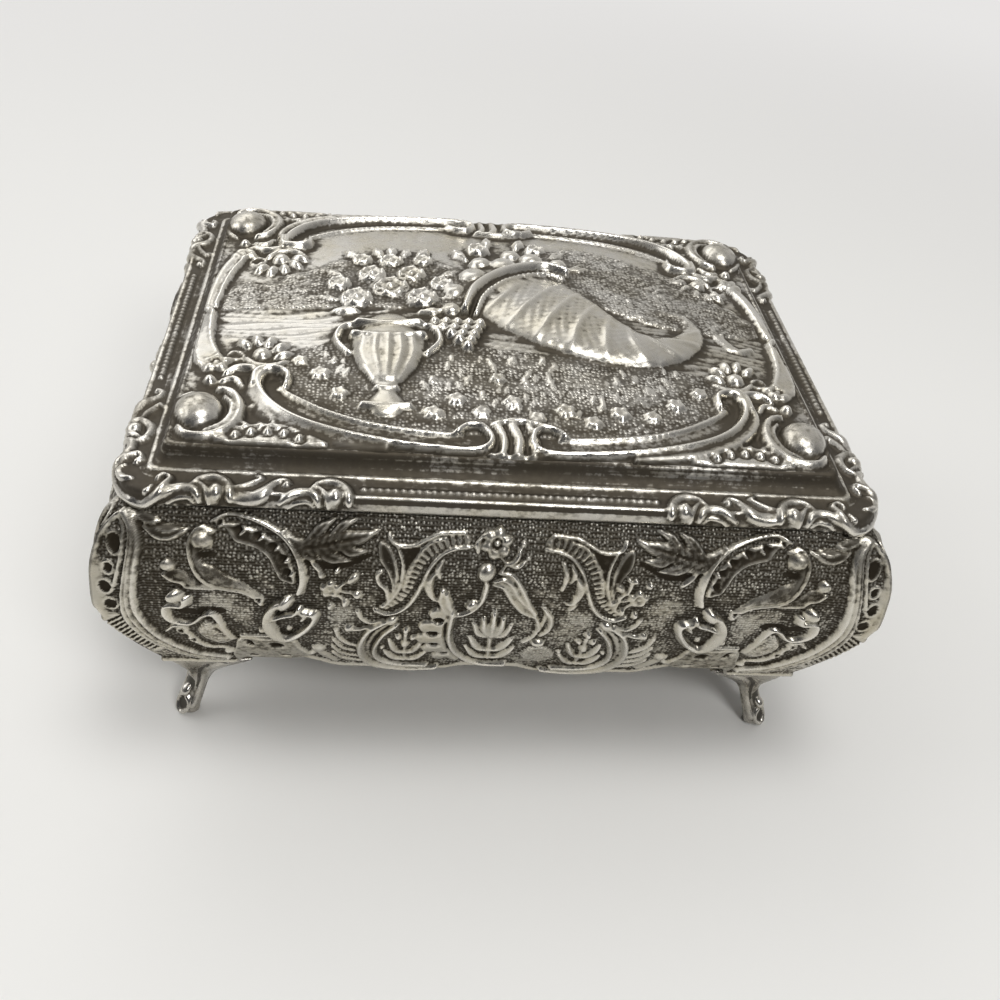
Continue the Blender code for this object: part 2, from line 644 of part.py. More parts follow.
def main():
    for item in list(bpy.data.objects):
        bpy.data.objects.remove(item, do_unlink=True)
    silver = material("antiqued_silver", (0.50, 0.49, 0.46), 0.30, 1.0)
    steel = material("hinge_steel", (0.58, 0.57, 0.54), 0.35, 1.0)
    sheet = material("floor_sheet", (0.42, 0.41, 0.39), 0.45, 1.0)
    velvet = material("dark_red_velvet", (0.16, 0.01, 0.02), 0.95, 0.0)
    mover = bpy.data.objects.new("lid_turn", None)
    mover.location = (0, hinge_y, hinge_z)
    bpy.context.scene.collection.objects.link(mover)

    sides = (("front", half_width, half_depth, 0), ("right", half_depth, half_width, pi / 2),
             ("back", half_width, half_depth, pi), ("left", half_depth, half_width, -pi / 2))
    lining_low = floor_top + fit_gap
    for label, half_length, reach, turn in sides:
        wall = make_wall(label + "_wall", half_length, reach, turn, silver)
        mesh = side_panel("lining", half_length, reach, lining_column_shares, lining_row_shares,
                          lining_row_shares[::-1], lambda share: lining_low, seam_height - lining_drop,
                          wall_thickness + fit_gap, lining_thickness)
        lining = add_object(label + "_lining", mesh, velvet)
        lining.rotation_euler.z = turn
        if label == "back":
            for side in (-1, 1):
                add_lug(wall, side)
                room = hinge_length / 2 + fit_gap
                low = lug_low - 2 * fit_gap - rivet_head
                back, front = -half_depth - bulge_out - overrun, -lug_front + overrun + lining_thickness
                cut(lining, block((side * hinge_spread - room, back, low),
                                  (side * hinge_spread + room, front, seam_height)))
    for end_label, end in (("front", -1), ("back", 1)):
        for side_label, side in (("left", -1), ("right", 1)):
            make_foot(f"{end_label}_{side_label}_foot", side, end, silver)

    plate_rings = []
    for height in (floor_height, floor_top):
        inset = wall_thickness + fit_gap - wall_offset(height)
        plate_rings.append(lid_ring(inset, height))
    add_object("floor_plate", loft("floor_plate", plate_rings), sheet)
    pad_inset = wall_thickness + lining_thickness + 2 * fit_gap - wall_offset(lining_low)
    make_pad("floor_pad", pad_inset, lining_low + pad_thickness, pad_thickness, pad_crown, 1, velvet)
    make_lid(silver, mover)
    make_pad("lid_pad", land_width + fit_gap, lid_base + lid_pad_rise, lid_pad_thickness, pad_crown, -1,
             velvet, mover)
    for label, side in (("left", -1), ("right", 1)):
        make_hinge(label, side, steel, steel, mover)


main()
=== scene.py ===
from math import cos, pi, sin

import bmesh
import bpy
import numpy as np
from mathutils import Euler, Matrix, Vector


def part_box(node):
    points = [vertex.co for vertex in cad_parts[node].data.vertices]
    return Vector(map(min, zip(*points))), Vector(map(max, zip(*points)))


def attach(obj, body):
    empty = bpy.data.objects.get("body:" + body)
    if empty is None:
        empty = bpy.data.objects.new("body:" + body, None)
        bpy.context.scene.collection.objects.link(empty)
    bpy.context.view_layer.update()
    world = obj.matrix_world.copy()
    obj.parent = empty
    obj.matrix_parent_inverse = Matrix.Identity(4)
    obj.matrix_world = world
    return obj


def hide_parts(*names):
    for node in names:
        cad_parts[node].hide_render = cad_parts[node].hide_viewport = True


# Footed, cast metal trinket box with relief walls, a domed relief lid and a velvet lining.
# Reliefs are drawn in millimetres on flat sheets, which are then bent to the casting's form.

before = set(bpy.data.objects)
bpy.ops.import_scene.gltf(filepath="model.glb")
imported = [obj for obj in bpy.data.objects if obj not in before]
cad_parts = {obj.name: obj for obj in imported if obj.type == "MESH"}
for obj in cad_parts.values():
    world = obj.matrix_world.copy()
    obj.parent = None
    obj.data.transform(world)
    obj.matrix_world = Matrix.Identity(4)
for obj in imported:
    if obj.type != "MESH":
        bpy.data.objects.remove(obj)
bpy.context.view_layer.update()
mm = 0.001
rng = np.random.default_rng(7)

# The frame's own sizes, in millimetres
landWidth = 5.8  # from the lid's edge to its padding
halfWidth, halfDepth = (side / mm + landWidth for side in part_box("lid_pad")[1][:2])
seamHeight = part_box("front_wall")[1].z / mm
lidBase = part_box("lid")[0].z / mm
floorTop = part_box("floor_pad")[0].z / mm
print("frame loaded")

# Shader nodes


def put(tree, socket, value):
    # a socket takes a link or a plain value
    if isinstance(value, bpy.types.NodeSocket):
        tree.links.new(value, socket)
    else:
        socket.default_value = value


def addNode(tree, kind, inputs=(), **settings):
    node = tree.nodes.new("ShaderNode" + kind)
    for key, value in settings.items():
        setattr(node, key, value)
    for key, value in dict(inputs).items():
        put(tree, node.inputs[key], value)
    return node


def mixColour(tree, share, first, second):
    return addNode(tree, "Mix", {0: share, 6: first, 7: second}, data_type="RGBA").outputs[2]


def mathNode(tree, operation, *values, clamp=False):
    return addNode(tree, "Math", enumerate(values), operation=operation, use_clamp=clamp).outputs[0]


def between(tree, value, low, high, start=0.0, end=1.0, ease="SMOOTHSTEP"):
    given = {"Value": value, "From Min": low, "From Max": high, "To Min": start, "To Max": end}
    return addNode(tree, "MapRange", given, interpolation_type=ease).outputs["Result"]


def noise(tree, place, scale, detail, **more):
    given = {"Vector": place, "Scale": scale, "Detail": detail, **more}
    return addNode(tree, "TexNoise", given).outputs["Fac"]


def startMaterial(name):
    made = bpy.data.materials.new(name)
    made.use_nodes = True
    tree = made.node_tree
    place = addNode(tree, "TexCoord").outputs["Object"]
    return made, tree, tree.nodes["Principled BSDF"], place


# Camera, floor and light

cameraView = {
    "place": (-0.02075, -0.17759, 0.16245),
    "turn": (0.8905, -0.1026, -0.0598),
    "lens": 39.56,
    "sensor": 36,
    "nearest": 0.005,
}


def addCamera():
    data = bpy.data.cameras.new("camera")
    data.lens = cameraView["lens"]
    data.sensor_width = cameraView["sensor"]
    data.clip_start = cameraView["nearest"]
    camera = bpy.data.objects.new("camera", data)
    camera.location = cameraView["place"]
    camera.rotation_euler = Euler(cameraView["turn"])
    bpy.context.scene.collection.objects.link(camera)
    bpy.context.scene.camera = camera


studio = {
    "behind": (0.50, 0.50, 0.50, 1),  # world towards the back, and towards the front
    "before": (0.07, 0.07, 0.075, 1),
    "shown": (0.80, 0.79, 0.78, 1),
    "room": (-0.75, 0.75),  # from front to back: where the room's light dims
    "dims": (-0.60, 1.15),  # and where the backdrop dims as the metal mirrors it
    "floorColour": (0.84, 0.83, 0.80, 1),
    "floorRoughness": 0.55,
    "floorGloss": 0.25,
    "floorHalf": 1.6,
    "fade": (0.16, 0.60),  # where the table fades into the backdrop, from the box's middle
    "lamps": (
        # name, place, aimed at, width, height, watts
        ("backWindow", (-0.30, 0.62, 0.66), (0.0, 0.0, 0.05), 0.70, 0.60, 1.6),
        ("leftSky", (-0.66, 0.10, 0.50), (0.0, 0.0, 0.04), 0.45, 0.45, 1.2),
        ("topFill", (0.10, -0.10, 0.95), (0.0, 0.0, 0.04), 0.40, 0.40, 3.2),
        ("frontFill", (0.28, -0.66, 0.72), (0.0, -0.1, 0.0), 0.30, 0.30, 3.0),
    ),
}


def raysThatShow(tree):
    # camera rays, and the reflected and refracted ones that show the same background
    rays = addNode(tree, "LightPath").outputs
    mirrored = mathNode(tree, "MAXIMUM", rays["Is Glossy Ray"], rays["Is Transmission Ray"])
    return rays["Is Camera Ray"], mathNode(tree, "MAXIMUM", rays["Is Camera Ray"], mirrored)


def addWorld():
    world = bpy.data.worlds.new("studio")
    world.use_nodes = True
    tree = world.node_tree
    light = tree.nodes["Background"]
    ahead = addNode(tree, "TexCoord").outputs["Generated"]
    facing = addNode(tree, "SeparateXYZ", {"Vector": ahead}).outputs["Y"]
    # a bright room behind the box, a dim one before it
    room = between(tree, facing, *studio["room"], ease="LINEAR")
    put(tree, light.inputs["Color"], mixColour(tree, room, studio["before"], studio["behind"]))
    # the backdrop as it is seen, also in the metal, where it dims towards the front
    straight, seen = raysThatShow(tree)
    mirrored = between(tree, facing, *studio["dims"], ease="LINEAR")
    mirrored = mathNode(tree, "MAXIMUM", mirrored, straight)
    backdrop = mixColour(tree, mirrored, studio["before"], studio["shown"])
    shown = addNode(tree, "Background", {"Color": backdrop}).outputs[0]
    mixed = addNode(tree, "MixShader", {0: seen, 1: light.outputs[0], 2: shown}).outputs[0]
    put(tree, tree.nodes["World Output"].inputs["Surface"], mixed)
    bpy.context.scene.world = world


def addLamps():
    for name, place, aim, width, height, watts in studio["lamps"]:
        data = bpy.data.lights.new(name, "AREA")
        data.shape = "RECTANGLE"
        data.size, data.size_y = width, height
        data.energy = watts
        lamp = bpy.data.objects.new(name, data)
        lamp.location = place
        lamp.rotation_euler = (Vector(aim) - Vector(place)).to_track_quat("-Z", "Y").to_euler()
        bpy.context.scene.collection.objects.link(lamp)


def addTable():
    bm = bmesh.new()
    bmesh.ops.create_grid(bm, x_segments=1, y_segments=1, size=studio["floorHalf"])
    mesh = bpy.data.meshes.new("table")
    bm.to_mesh(mesh)
    bm.free()
    table = bpy.data.objects.new("table", mesh)
    bpy.context.scene.collection.objects.link(table)
    finish, tree, shader, place = startMaterial("paleTable")
    for label, key in (("Base Color", "floorColour"), ("Roughness", "floorRoughness"),
                       ("Specular IOR Level", "floorGloss")):
        put(tree, shader.inputs[label], studio[key])
    away = addNode(tree, "VectorMath", {0: place}, operation="LENGTH").outputs["Value"]
    far = mathNode(tree, "MULTIPLY", raysThatShow(tree)[1], between(tree, away, *studio["fade"]))
    plain = addNode(tree, "Emission", {"Color": studio["shown"]}).outputs[0]
    blend = addNode(tree, "MixShader", {0: far, 1: shader.outputs[0], 2: plain}).outputs[0]
    put(tree, tree.nodes["Material Output"].inputs["Surface"], blend)
    mesh.materials.append(finish)


bpy.context.scene.view_settings.view_transform = "Standard"
addCamera()
addWorld()
addLamps()
addTable()
print("camera and studio")

# Shared surface effects


def newGroup(name, inputs, outputs):
    group = bpy.data.node_groups.new(name, "ShaderNodeTree")
    for label, kind, value in inputs:
        socket = group.interface.new_socket(label, in_out="INPUT", socket_type="NodeSocket" + kind)
        if value is not None:
            socket.default_value = value
    for label, kind in outputs:
        group.interface.new_socket(label, in_out="OUTPUT", socket_type="NodeSocket" + kind)
    enter = group.nodes.new("NodeGroupInput")
    leave = group.nodes.new("NodeGroupOutput")
    return group, enter.outputs, leave.inputs


def makePatinaAndShadeGroup():
    # dark tarnish and painted shade left in the hollows, polished high spots, cloudy variation between them
    group, given, out = newGroup(
        "patinaAndShade",
        (("Vector", "Vector", None), ("TarnishAndShade", "Float", 0.0), ("Wear", "Float", 0.0),
         ("Metal", "Color", (0.6, 0.58, 0.55, 1)), ("Warm", "Color", (0.58, 0.545, 0.465, 1)),
         ("TarnishAndShadeColour", "Color", (0.05, 0.045, 0.04, 1)), ("Amount", "Float", 1.0), ("Gloss", "Float", 0.2)),
        (("Color", "Color"), ("Roughness", "Float"), ("DirtAndShade", "Float")))
    cloud = noise(group, given["Vector"], 90.0, 4.0, Roughness=0.6)
    fine = noise(group, given["Vector"], 900.0, 3.0, Roughness=0.65)
    speckle = between(group, fine, 0.35, 0.7, -0.18, 0.22)
    drift = between(group, cloud, 0.3, 0.7, -0.16, 0.16)
    # darkening: tarnish and painted shade from the hollows, with random speckles and clouds of tarnish
    dirtAndShade = mathNode(group, "ADD", given["TarnishAndShade"], mathNode(group, "ADD", speckle, drift))
    dirtAndShade = mathNode(group, "MULTIPLY", between(group, dirtAndShade, 0.12, 0.78), given["Amount"], clamp=True)
    kept = mathNode(group, "MULTIPLY_ADD", given["Wear"], -0.8, 1.0, clamp=True)
    dirtAndShade = mathNode(group, "MULTIPLY", dirtAndShade, kept)
    warm = mixColour(group, between(group, cloud, 0.35, 0.65), given["Metal"], given["Warm"])
    bright = mixColour(group, given["Wear"], warm, (0.88, 0.85, 0.775, 1))
    put(group, out["Color"], mixColour(group, dirtAndShade, bright, given["TarnishAndShadeColour"]))
    rough = mathNode(group, "MULTIPLY_ADD", dirtAndShade, 0.35, given["Gloss"])
    rough = mathNode(group, "MULTIPLY_ADD", between(group, fine, 0.3, 0.75), 0.12, rough)
    polish = mathNode(group, "MULTIPLY", given["Wear"], 0.1)
    put(group, out["Roughness"], mathNode(group, "SUBTRACT", rough, polish, clamp=True))
    put(group, out["DirtAndShade"], dirtAndShade)
    return group


def makeStippleGroup():
    # close rows of small punched dots, as on the ground of the reliefs
    group, given, out = newGroup(
        "stipple", (("Vector", "Vector", None), ("Pitch", "Float", 1800.0), ("Share", "Float", 1.0)),
        (("Height", "Float"), ("Hollow", "Float")))
    cells = {"Vector": given["Vector"], "Scale": given["Pitch"], "Randomness": 0.62}
    dots = between(group, addNode(group, "TexVoronoi", cells).outputs["Distance"], 0.12, 0.62, 1.0, 0.0)
    waves = {"Vector": given["Vector"], "Scale": 560.0, "Distortion": 2.6, "Detail": 2.0, "Detail Scale": 3.0}
    rows = addNode(group, "TexWave", waves, wave_type="BANDS", bands_direction="Z").outputs["Fac"]
    level = mathNode(group, "MULTIPLY_ADD", rows, 0.35, dots)
    put(group, out["Height"], mathNode(group, "MULTIPLY", level, given["Share"]))
    hollow = mathNode(group, "SUBTRACT", 1.0, dots)
    put(group, out["Hollow"], mathNode(group, "MULTIPLY", hollow, given["Share"]))
    return group


patinaAndShadeGroup = makePatinaAndShadeGroup()
stippleGroup = makeStippleGroup()


def useGroup(tree, group, inputs):
    node = tree.nodes.new("ShaderNodeGroup")
    node.node_tree = group
    for key, value in inputs.items():
        put(tree, node.inputs[key], value)
    return node.outputs


def finishMetal(tree, shader, skin, bump):
    put(tree, shader.inputs["Base Color"], skin["Color"])
    put(tree, shader.inputs["Roughness"], skin["Roughness"])
    put(tree, shader.inputs["Normal"], bump.outputs["Normal"])
    shader.inputs["Metallic"].default_value = 1.0


def reliefSilver(name, metal, warm, tarnishAndShadeTone, amount, gloss, depth, pitch):
    # cast metal whose relief carries three drawn masks: hollow (tarnish and painted shade), wear and ground
    made, tree, shader, place = startMaterial(name)
    tarnishAndShadeMask, wear, ground = (addNode(tree, "Attribute", attribute_name=mask).outputs["Fac"]
                             for mask in ("hollow", "wear", "ground"))
    dots = useGroup(tree, stippleGroup, {"Vector": place, "Pitch": pitch, "Share": ground})
    total = mathNode(tree, "MULTIPLY_ADD", dots["Hollow"], 0.55, tarnishAndShadeMask)
    shine = mathNode(tree, "MULTIPLY_ADD", dots["Height"], 0.5, wear, clamp=True)
    skin = useGroup(tree, patinaAndShadeGroup, {"Vector": place, "TarnishAndShade": total, "Wear": shine, "Metal": metal,
                                        "Warm": warm, "TarnishAndShadeColour": tarnishAndShadeTone, "Amount": amount, "Gloss": gloss})
    grain = noise(tree, place, 1400.0, 3.0)
    fine = addNode(tree, "Bump", {"Strength": 0.12, "Distance": 0.0001, "Height": grain})
    bump = addNode(tree, "Bump", {"Strength": depth, "Distance": 0.00022, "Height": dots["Height"],
                                  "Normal": fine.outputs["Normal"]})
    finishMetal(tree, shader, skin, bump)
    return made


def plainSilver(name, metal, amount, gloss, scratch):
    # smooth sheet and hinge parts: tarnish only as clouds, with fine scratches
    made, tree, shader, place = startMaterial(name)
    hollow = between(tree, noise(tree, place, 260.0, 5.0, Roughness=0.7), 0.35, 0.8, 0.0, 0.5)
    skin = useGroup(tree, patinaAndShadeGroup, {"Vector": place, "TarnishAndShade": hollow, "Wear": 0.0, "Metal": metal,
                                        "TarnishAndShadeColour": (0.10, 0.09, 0.08, 1), "Amount": amount, "Gloss": gloss})
    stretched = addNode(tree, "Mapping", {"Vector": place, "Scale": (1.0, 9.0, 9.0)}).outputs["Vector"]
    lines = noise(tree, stretched, 500.0, 2.0)
    bump = addNode(tree, "Bump", {"Strength": scratch, "Distance": 0.0001, "Height": lines})
    finishMetal(tree, shader, skin, bump)
    return made


velvetLook = {
    "colours": ((0.115, 0.008, 0.015, 1), (0.165, 0.011, 0.020, 1)), "deep": (0.03, 0.002, 0.004, 1),
    "sheen": (("Roughness", 0.9), ("Sheen Weight", 0.7), ("Sheen Roughness", 0.45),
              ("Sheen Tint", (0.75, 0.22, 0.25, 1))),
}


def velvetCloth(name):
    made, tree, shader, place = startMaterial(name)
    patches = between(tree, noise(tree, place, 130.0, 5.0), 0.35, 0.68)
    pile = noise(tree, place, 3200.0, 2.0)
    colour = mixColour(tree, patches, *velvetLook["colours"])
    colour = mixColour(tree, between(tree, pile, 0.3, 0.75, 0.0, 0.4), colour, velvetLook["deep"])
    put(tree, shader.inputs["Base Color"], colour)
    for label, value in velvetLook["sheen"]:
        shader.inputs[label].default_value = value
    bump = addNode(tree, "Bump", {"Strength": 0.5, "Distance": 0.00015, "Height": pile})
    put(tree, shader.inputs["Normal"], bump.outputs["Normal"])
    return made


metals = {
    # clean metal, its warmer patches, the colour of tarnish and painted shade, how much of it, roughness,
    # depth and pitch of the stipple
    "wallSilver": ((0.46, 0.435, 0.37, 1), (0.48, 0.44, 0.345, 1), (0.028, 0.021, 0.013, 1),
                   0.97, 0.27, 0.75, 1750.0),
    "lidSilver": ((0.55, 0.53, 0.485, 1), (0.52, 0.485, 0.40, 1), (0.054, 0.043, 0.029, 1),
                  0.92, 0.25, 0.55, 1500.0),
    "footSilver": ((0.46, 0.44, 0.40, 1), (0.45, 0.42, 0.36, 1), (0.06, 0.055, 0.045, 1),
                   0.85, 0.22, 0.3, 1800.0),
}
wallSilver, lidSilver, footSilver = (reliefSilver(name, *values) for name, values in metals.items())
hingeSteel = plainSilver("hingeSteel", (0.56, 0.55, 0.53, 1), 0.6, 0.28, 0.12)
floorSheet = plainSilver("floorSheet", (0.42, 0.41, 0.39, 1), 0.7, 0.38, 0.2)
velvet = velvetCloth("darkRedVelvet")
print("materials")

# Drawing on a sheet: "at" holds each grid point in millimetres, "high" its relief


def addBack(bm, columns, rows):
    # plain back of a slab: one strip for each row, one face along the first and the last
    rim = [edge for edge in bm.edges if edge.is_boundary]
    made = bmesh.ops.extrude_edge_only(bm, edges=rim)
    behind = {}
    for vert in (item for item in made["geom"] if isinstance(item, bmesh.types.BMVert)):
        vert.co.z = -1
        behind[round((vert.co.x + 0.5) * columns), round((vert.co.y + 0.5) * rows)] = vert
    for row in range(1, rows - 1):
        bm.faces.new((behind[0, row], behind[0, row + 1], behind[columns, row + 1], behind[columns, row]))
    for end, beside in ((0, 1), (rows, rows - 1)):
        along = [behind[column, end] for column in range(columns + 1)]
        bm.faces.new([behind[0, beside], *along, behind[columns, beside]])
    bmesh.ops.recalc_face_normals(bm, faces=bm.faces)


def newSheet(name, columns, rows, spot, backed=True):
    # a flat slab with a fine front and a plain back, or a front alone
    # u runs from -1 to 1 and v from 0 to 1; spot turns them into the drawing's millimetres
    bm = bmesh.new()
    bmesh.ops.create_grid(bm, x_segments=columns, y_segments=rows, size=0.5)
    if backed:
        addBack(bm, columns, rows)
    mesh = bpy.data.meshes.new(name)
    bm.to_mesh(mesh)
    bm.free()
    flat = np.empty(len(mesh.vertices) * 3)
    mesh.vertices.foreach_get("co", flat)
    x, y, z = flat.reshape(-1, 3).T
    u, v, front = 2 * x, y + 0.5, z > -0.5
    order = np.flatnonzero(front)
    rank = np.round(v[order] * rows) * (columns + 1) + np.round((u[order] + 1) / 2 * columns)
    order = order[np.argsort(rank)]
    blank = {field: np.zeros(len(order)) for field in ("high", "shade", "dotted")}
    return {"name": name, "mesh": mesh, "columns": columns, "rows": rows, "u": u, "v": v, "front": front,
            "order": order, "at": np.stack(spot(u[order], v[order]), 1), **blank, "side": 1, "end": 1,
            "place": lambda points: points, "haloTarnishAndShade": 1.5, "stippled": 1.0}


def smoothLine(points, steps=7, closed=False):
    points = np.array(points, float)
    if closed:
        padded = np.vstack([points[-1:], points, points[:2]])
    else:
        padded = np.vstack([2 * points[:1] - points[1:2], points, 2 * points[-1:] - points[-2:-1]])
    turns = (np.arange(steps) / steps)[:, None]
    made = [0.5 * (2 * b + (c - a) * turns + (2 * a - 5 * b + 4 * c - d) * turns ** 2
                   + (3 * b - a - 3 * c + d) * turns ** 3)
            for a, b, c, d in zip(padded, padded[1:], padded[2:], padded[3:])]
    return np.vstack([*made, points[:1] if closed else points[-1:]])


def nearLine(sheet, line, reach):
    low, high = line.min(0) - reach, line.max(0) + reach
    at = sheet["at"]
    picked = np.flatnonzero(((at > low) & (at < high)).all(1))
    near = at[picked]
    away = np.full(len(picked), np.inf)
    side, along = np.zeros(len(picked)), np.zeros(len(picked))
    run = 0.0
    for start, end in zip(line, line[1:]):
        step = end - start
        length = float(np.hypot(*step))
        if length < 1e-9:
            continue
        rel = near - start
        share = np.clip(rel @ step / length ** 2, 0, 1)
        gap = np.hypot(rel[:, 0] - share * step[0], rel[:, 1] - share * step[1])
        closer = gap < away
        away[closer] = gap[closer]
        along[closer] = run + share[closer] * length
        side[closer] = np.sign(step[0] * rel[closer, 1] - step[1] * rel[closer, 0])
        run += length
    return picked, away, side, along, run


def spread(values, share):
    if np.isscalar(values):
        return np.full(len(share), float(values))
    return np.interp(share, np.linspace(0, 1, len(values)), values)


# Sections of a stroke: q runs 0 to 1 from its middle to its edge, inner is the way to the edge,
# side is -1 or 1 and along is the way from its start, both lengths in millimetres


def roundTop(q, inner, side, along):
    return np.sqrt(np.clip(1 - q * q, 0, 1))


def softTop(q, inner, side, along):
    return 0.5 + 0.5 * np.cos(pi * q)


def thinEdge(inner, width=0.55):
    return np.clip(1 - np.abs(inner - width / 2) / (width / 2), 0, 1)


def hollowTop(q, inner, side, along):
    return np.maximum(0.38 + 0.10 * q, thinEdge(inner))


def flatTop(q, inner, side, along):
    return np.sin(np.clip(inner / 0.5, 0, 1) * pi / 2)


def mouldTop(q, inner, side, along):
    return np.minimum(inner * 2.5, 1) * (0.80 + 0.20 * np.cos(3 * pi * q))


# darker in the grooves between the flutes, and painted shade over the half on one side
def mouldTone(q, inner, side):
    return 0.30 * (0.5 - 0.5 * np.cos(3 * pi * q)) + 0.15 * (side > 0)


def fallTop(q, inner, side, along):
    # a band that falls away from its inner edge, where a bright line runs
    across = 0.5 - 0.5 * side * q
    return np.clip(0.25 + 0.75 * (1 - across), 0, 1) * np.minimum(inner * 3, 1)


# painted shade: darker towards the band's low, falling side
def fallTone(q, inner, side):
    return np.clip(0.45 - 0.6 * (0.5 + 0.5 * side * q), 0, 1)


def ladderTop(q, inner, side, along):
    rungs = 0.5 + 0.5 * np.cos(2 * pi * along / 1.0)
    return 0.12 + 0.8 * rungs ** 1.5


def ropeTop(q, inner, side, along):
    twist = 0.5 + 0.5 * np.cos(2 * pi * (along / 1.1 + 0.35 * q * side))
    return roundTop(q, inner, side, along) * (0.55 + 0.45 * twist)


def beadTop(q, inner, side, along):
    beads = np.abs(np.sin(pi * along / 1.2))
    return roundTop(q, inner, side, along) * beads ** 0.6


def leafTop(q, inner, side, along):
    veins = 0.5 + 0.5 * np.cos(2 * pi * (along - 1.2 * q) / 1.15)
    blade = 0.45 + 0.4 * roundTop(q, inner, side, along) + 0.15 * veins
    return blade * np.minimum(inner * 3, 1) - 0.35 * (q < 0.12)


def sideMap(sheet, points):
    # strokes are written for one corner of a pattern; side and end -1 turn them over
    points = np.array(points, float)
    return sheet["place"](points * (sheet["side"], sheet["end"]))


def lay(sheet, picked, made, way, tone=0.0, dots=0.0):
    # tone darkens the colour where this form shows: tarnish in its recesses, and painted shade in holes,
    # under overhangs and on sides turned from the light; dots is stipple left there
    high = sheet["high"]
    if way == "add":
        high[picked] += made
        return
    if way == "over":
        wins = np.full(len(picked), True)
    else:
        wins = made < high[picked] if way == "dig" else made > high[picked]
    won = picked[wins]
    high[won] = made[wins]
    sheet["shade"][won] = np.broadcast_to(tone, len(made))[wins]
    sheet["dotted"][won] = dots


def stroke(sheet, points, half, height, section=roundTop, way="raise", closed=False, steps=7, tone=0.0):
    line = smoothLine(sideMap(sheet, points), steps, closed)
    picked, away, side, along, length = nearLine(sheet, line, np.max(half) + 0.1)
    share = along / length
    wide = spread(half, share)
    inside = away < wide
    q = away[inside] / wide[inside]
    inner = wide[inside] - away[inside]
    made = spread(height, share)[inside] * section(q, inner, side[inside], along[inside])
    lay(sheet, picked[inside], made, way, tone(q, inner, side[inside]) if callable(tone) else tone)


def insideOf(points, near):
    # even-odd test of grid points against a closed outline
    odd = np.zeros(len(near), bool)
    ahead = np.roll(points, -1, axis=0)
    for (x0, y0), (x1, y1) in zip(points, ahead):
        if y0 == y1:
            continue
        crosses = (near[:, 1] > min(y0, y1)) & (near[:, 1] <= max(y0, y1))
        odd ^= crosses & (near[:, 0] < x0 + (near[:, 1] - y0) * (x1 - x0) / (y1 - y0))
    return odd


def plate(sheet, points, height, bevel=0.5, rim=0.0, way="raise", smooth=True, steps=6, tone=0.0, dots=0.0):
    points = sideMap(sheet, points)
    line = smoothLine(points, steps, True) if smooth else np.vstack([points, points[:1]])
    picked, away, side, along, length = nearLine(sheet, line, 0.1)
    inside = insideOf(line[:-1], sheet["at"][picked])
    inner = away[inside]
    made = height * np.sin(np.clip(inner / bevel, 0, 1) * pi / 2)
    if rim:
        made += rim * thinEdge(inner)
    lay(sheet, picked[inside], made, way, tone * np.clip((inner - 0.2) / 0.3, 0, 1), dots)


def boss(sheet, x, y, radius, height, tall=1.0, turn=0.0, way="raise", power=0.5, tone=0.0):
    (cx, cy), = sideMap(sheet, [(x, y)])
    at = sheet["at"]
    reach = radius * max(1, tall)
    picked = np.flatnonzero((np.abs(at[:, 0] - cx) < reach) & (np.abs(at[:, 1] - cy) < reach))
    rel = at[picked] - (cx, cy)
    angle = turn * sheet["side"] * sheet["end"]
    across = rel[:, 0] * cos(angle) + rel[:, 1] * sin(angle)
    upward = (-rel[:, 0] * sin(angle) + rel[:, 1] * cos(angle)) / tall
    q = np.hypot(across, upward) / radius
    inside = q < 1
    lay(sheet, picked[inside], height * (1 - q[inside] ** 2) ** power, way, tone)


def pit(sheet, x, y, radius, tall=1.0, turn=0.0, rim=0.5):
    # a punched hole with a raised lip; its floor is painted dark as shade
    boss(sheet, x, y, radius + 0.35, rim, tall, turn, power=0.25)
    boss(sheet, x, y, radius, 0.0, tall, turn, way="dig", tone=0.9)


def flower(sheet, x, y, radius, height, petals=5, turn=0.3):
    for index in range(petals):
        angle = turn + 2 * pi * index / petals
        reach = 0.55 * radius
        boss(sheet, x + reach * cos(angle), y + reach * sin(angle), 0.46 * radius, height * 0.8, 1.25,
             sheet["side"] * sheet["end"] * (angle - pi / 2))
    boss(sheet, x, y, 0.36 * radius, height * 0.45, way="over")
    boss(sheet, x, y, 0.22 * radius, height * 0.95)


def blurred(sheet, values, reach):
    # repeated short averaging over the sheet's own rows and columns
    wide, tall = sheet["columns"] + 1, sheet["rows"] + 1
    field = values.reshape(tall, wide)
    for _ in range(3):
        for axis in (0, 1):
            edge = ((reach, reach), (0, 0)) if axis == 0 else ((0, 0), (reach, reach))
            total = np.cumsum(np.pad(field, edge, mode="edge"), axis=axis, dtype=float)
            zero = np.zeros_like(np.take(total, [0], axis=axis))
            total = np.concatenate([zero, total], axis=axis)
            width = 2 * reach + 1
            size = field.shape[axis]
            field = (np.take(total, range(width, width + size), axis=axis)
                     - np.take(total, range(size), axis=axis)) / width
    return field.reshape(-1)


def softened(sheet, values):
    # one light pass that rounds the steps at a stroke's edge, as casting does
    field = values.reshape(sheet["rows"] + 1, sheet["columns"] + 1)
    for axis in (0, 1):
        edge = ((1, 1), (0, 0)) if axis == 0 else ((0, 0), (1, 1))
        wide = np.pad(field, edge, mode="edge")
        if axis == 0:
            field = 0.25 * wide[:-2] + 0.5 * wide[1:-1] + 0.25 * wide[2:]
        else:
            field = 0.25 * wide[:, :-2] + 0.5 * wide[:, 1:-1] + 0.25 * wide[:, 2:]
    return field.reshape(-1)


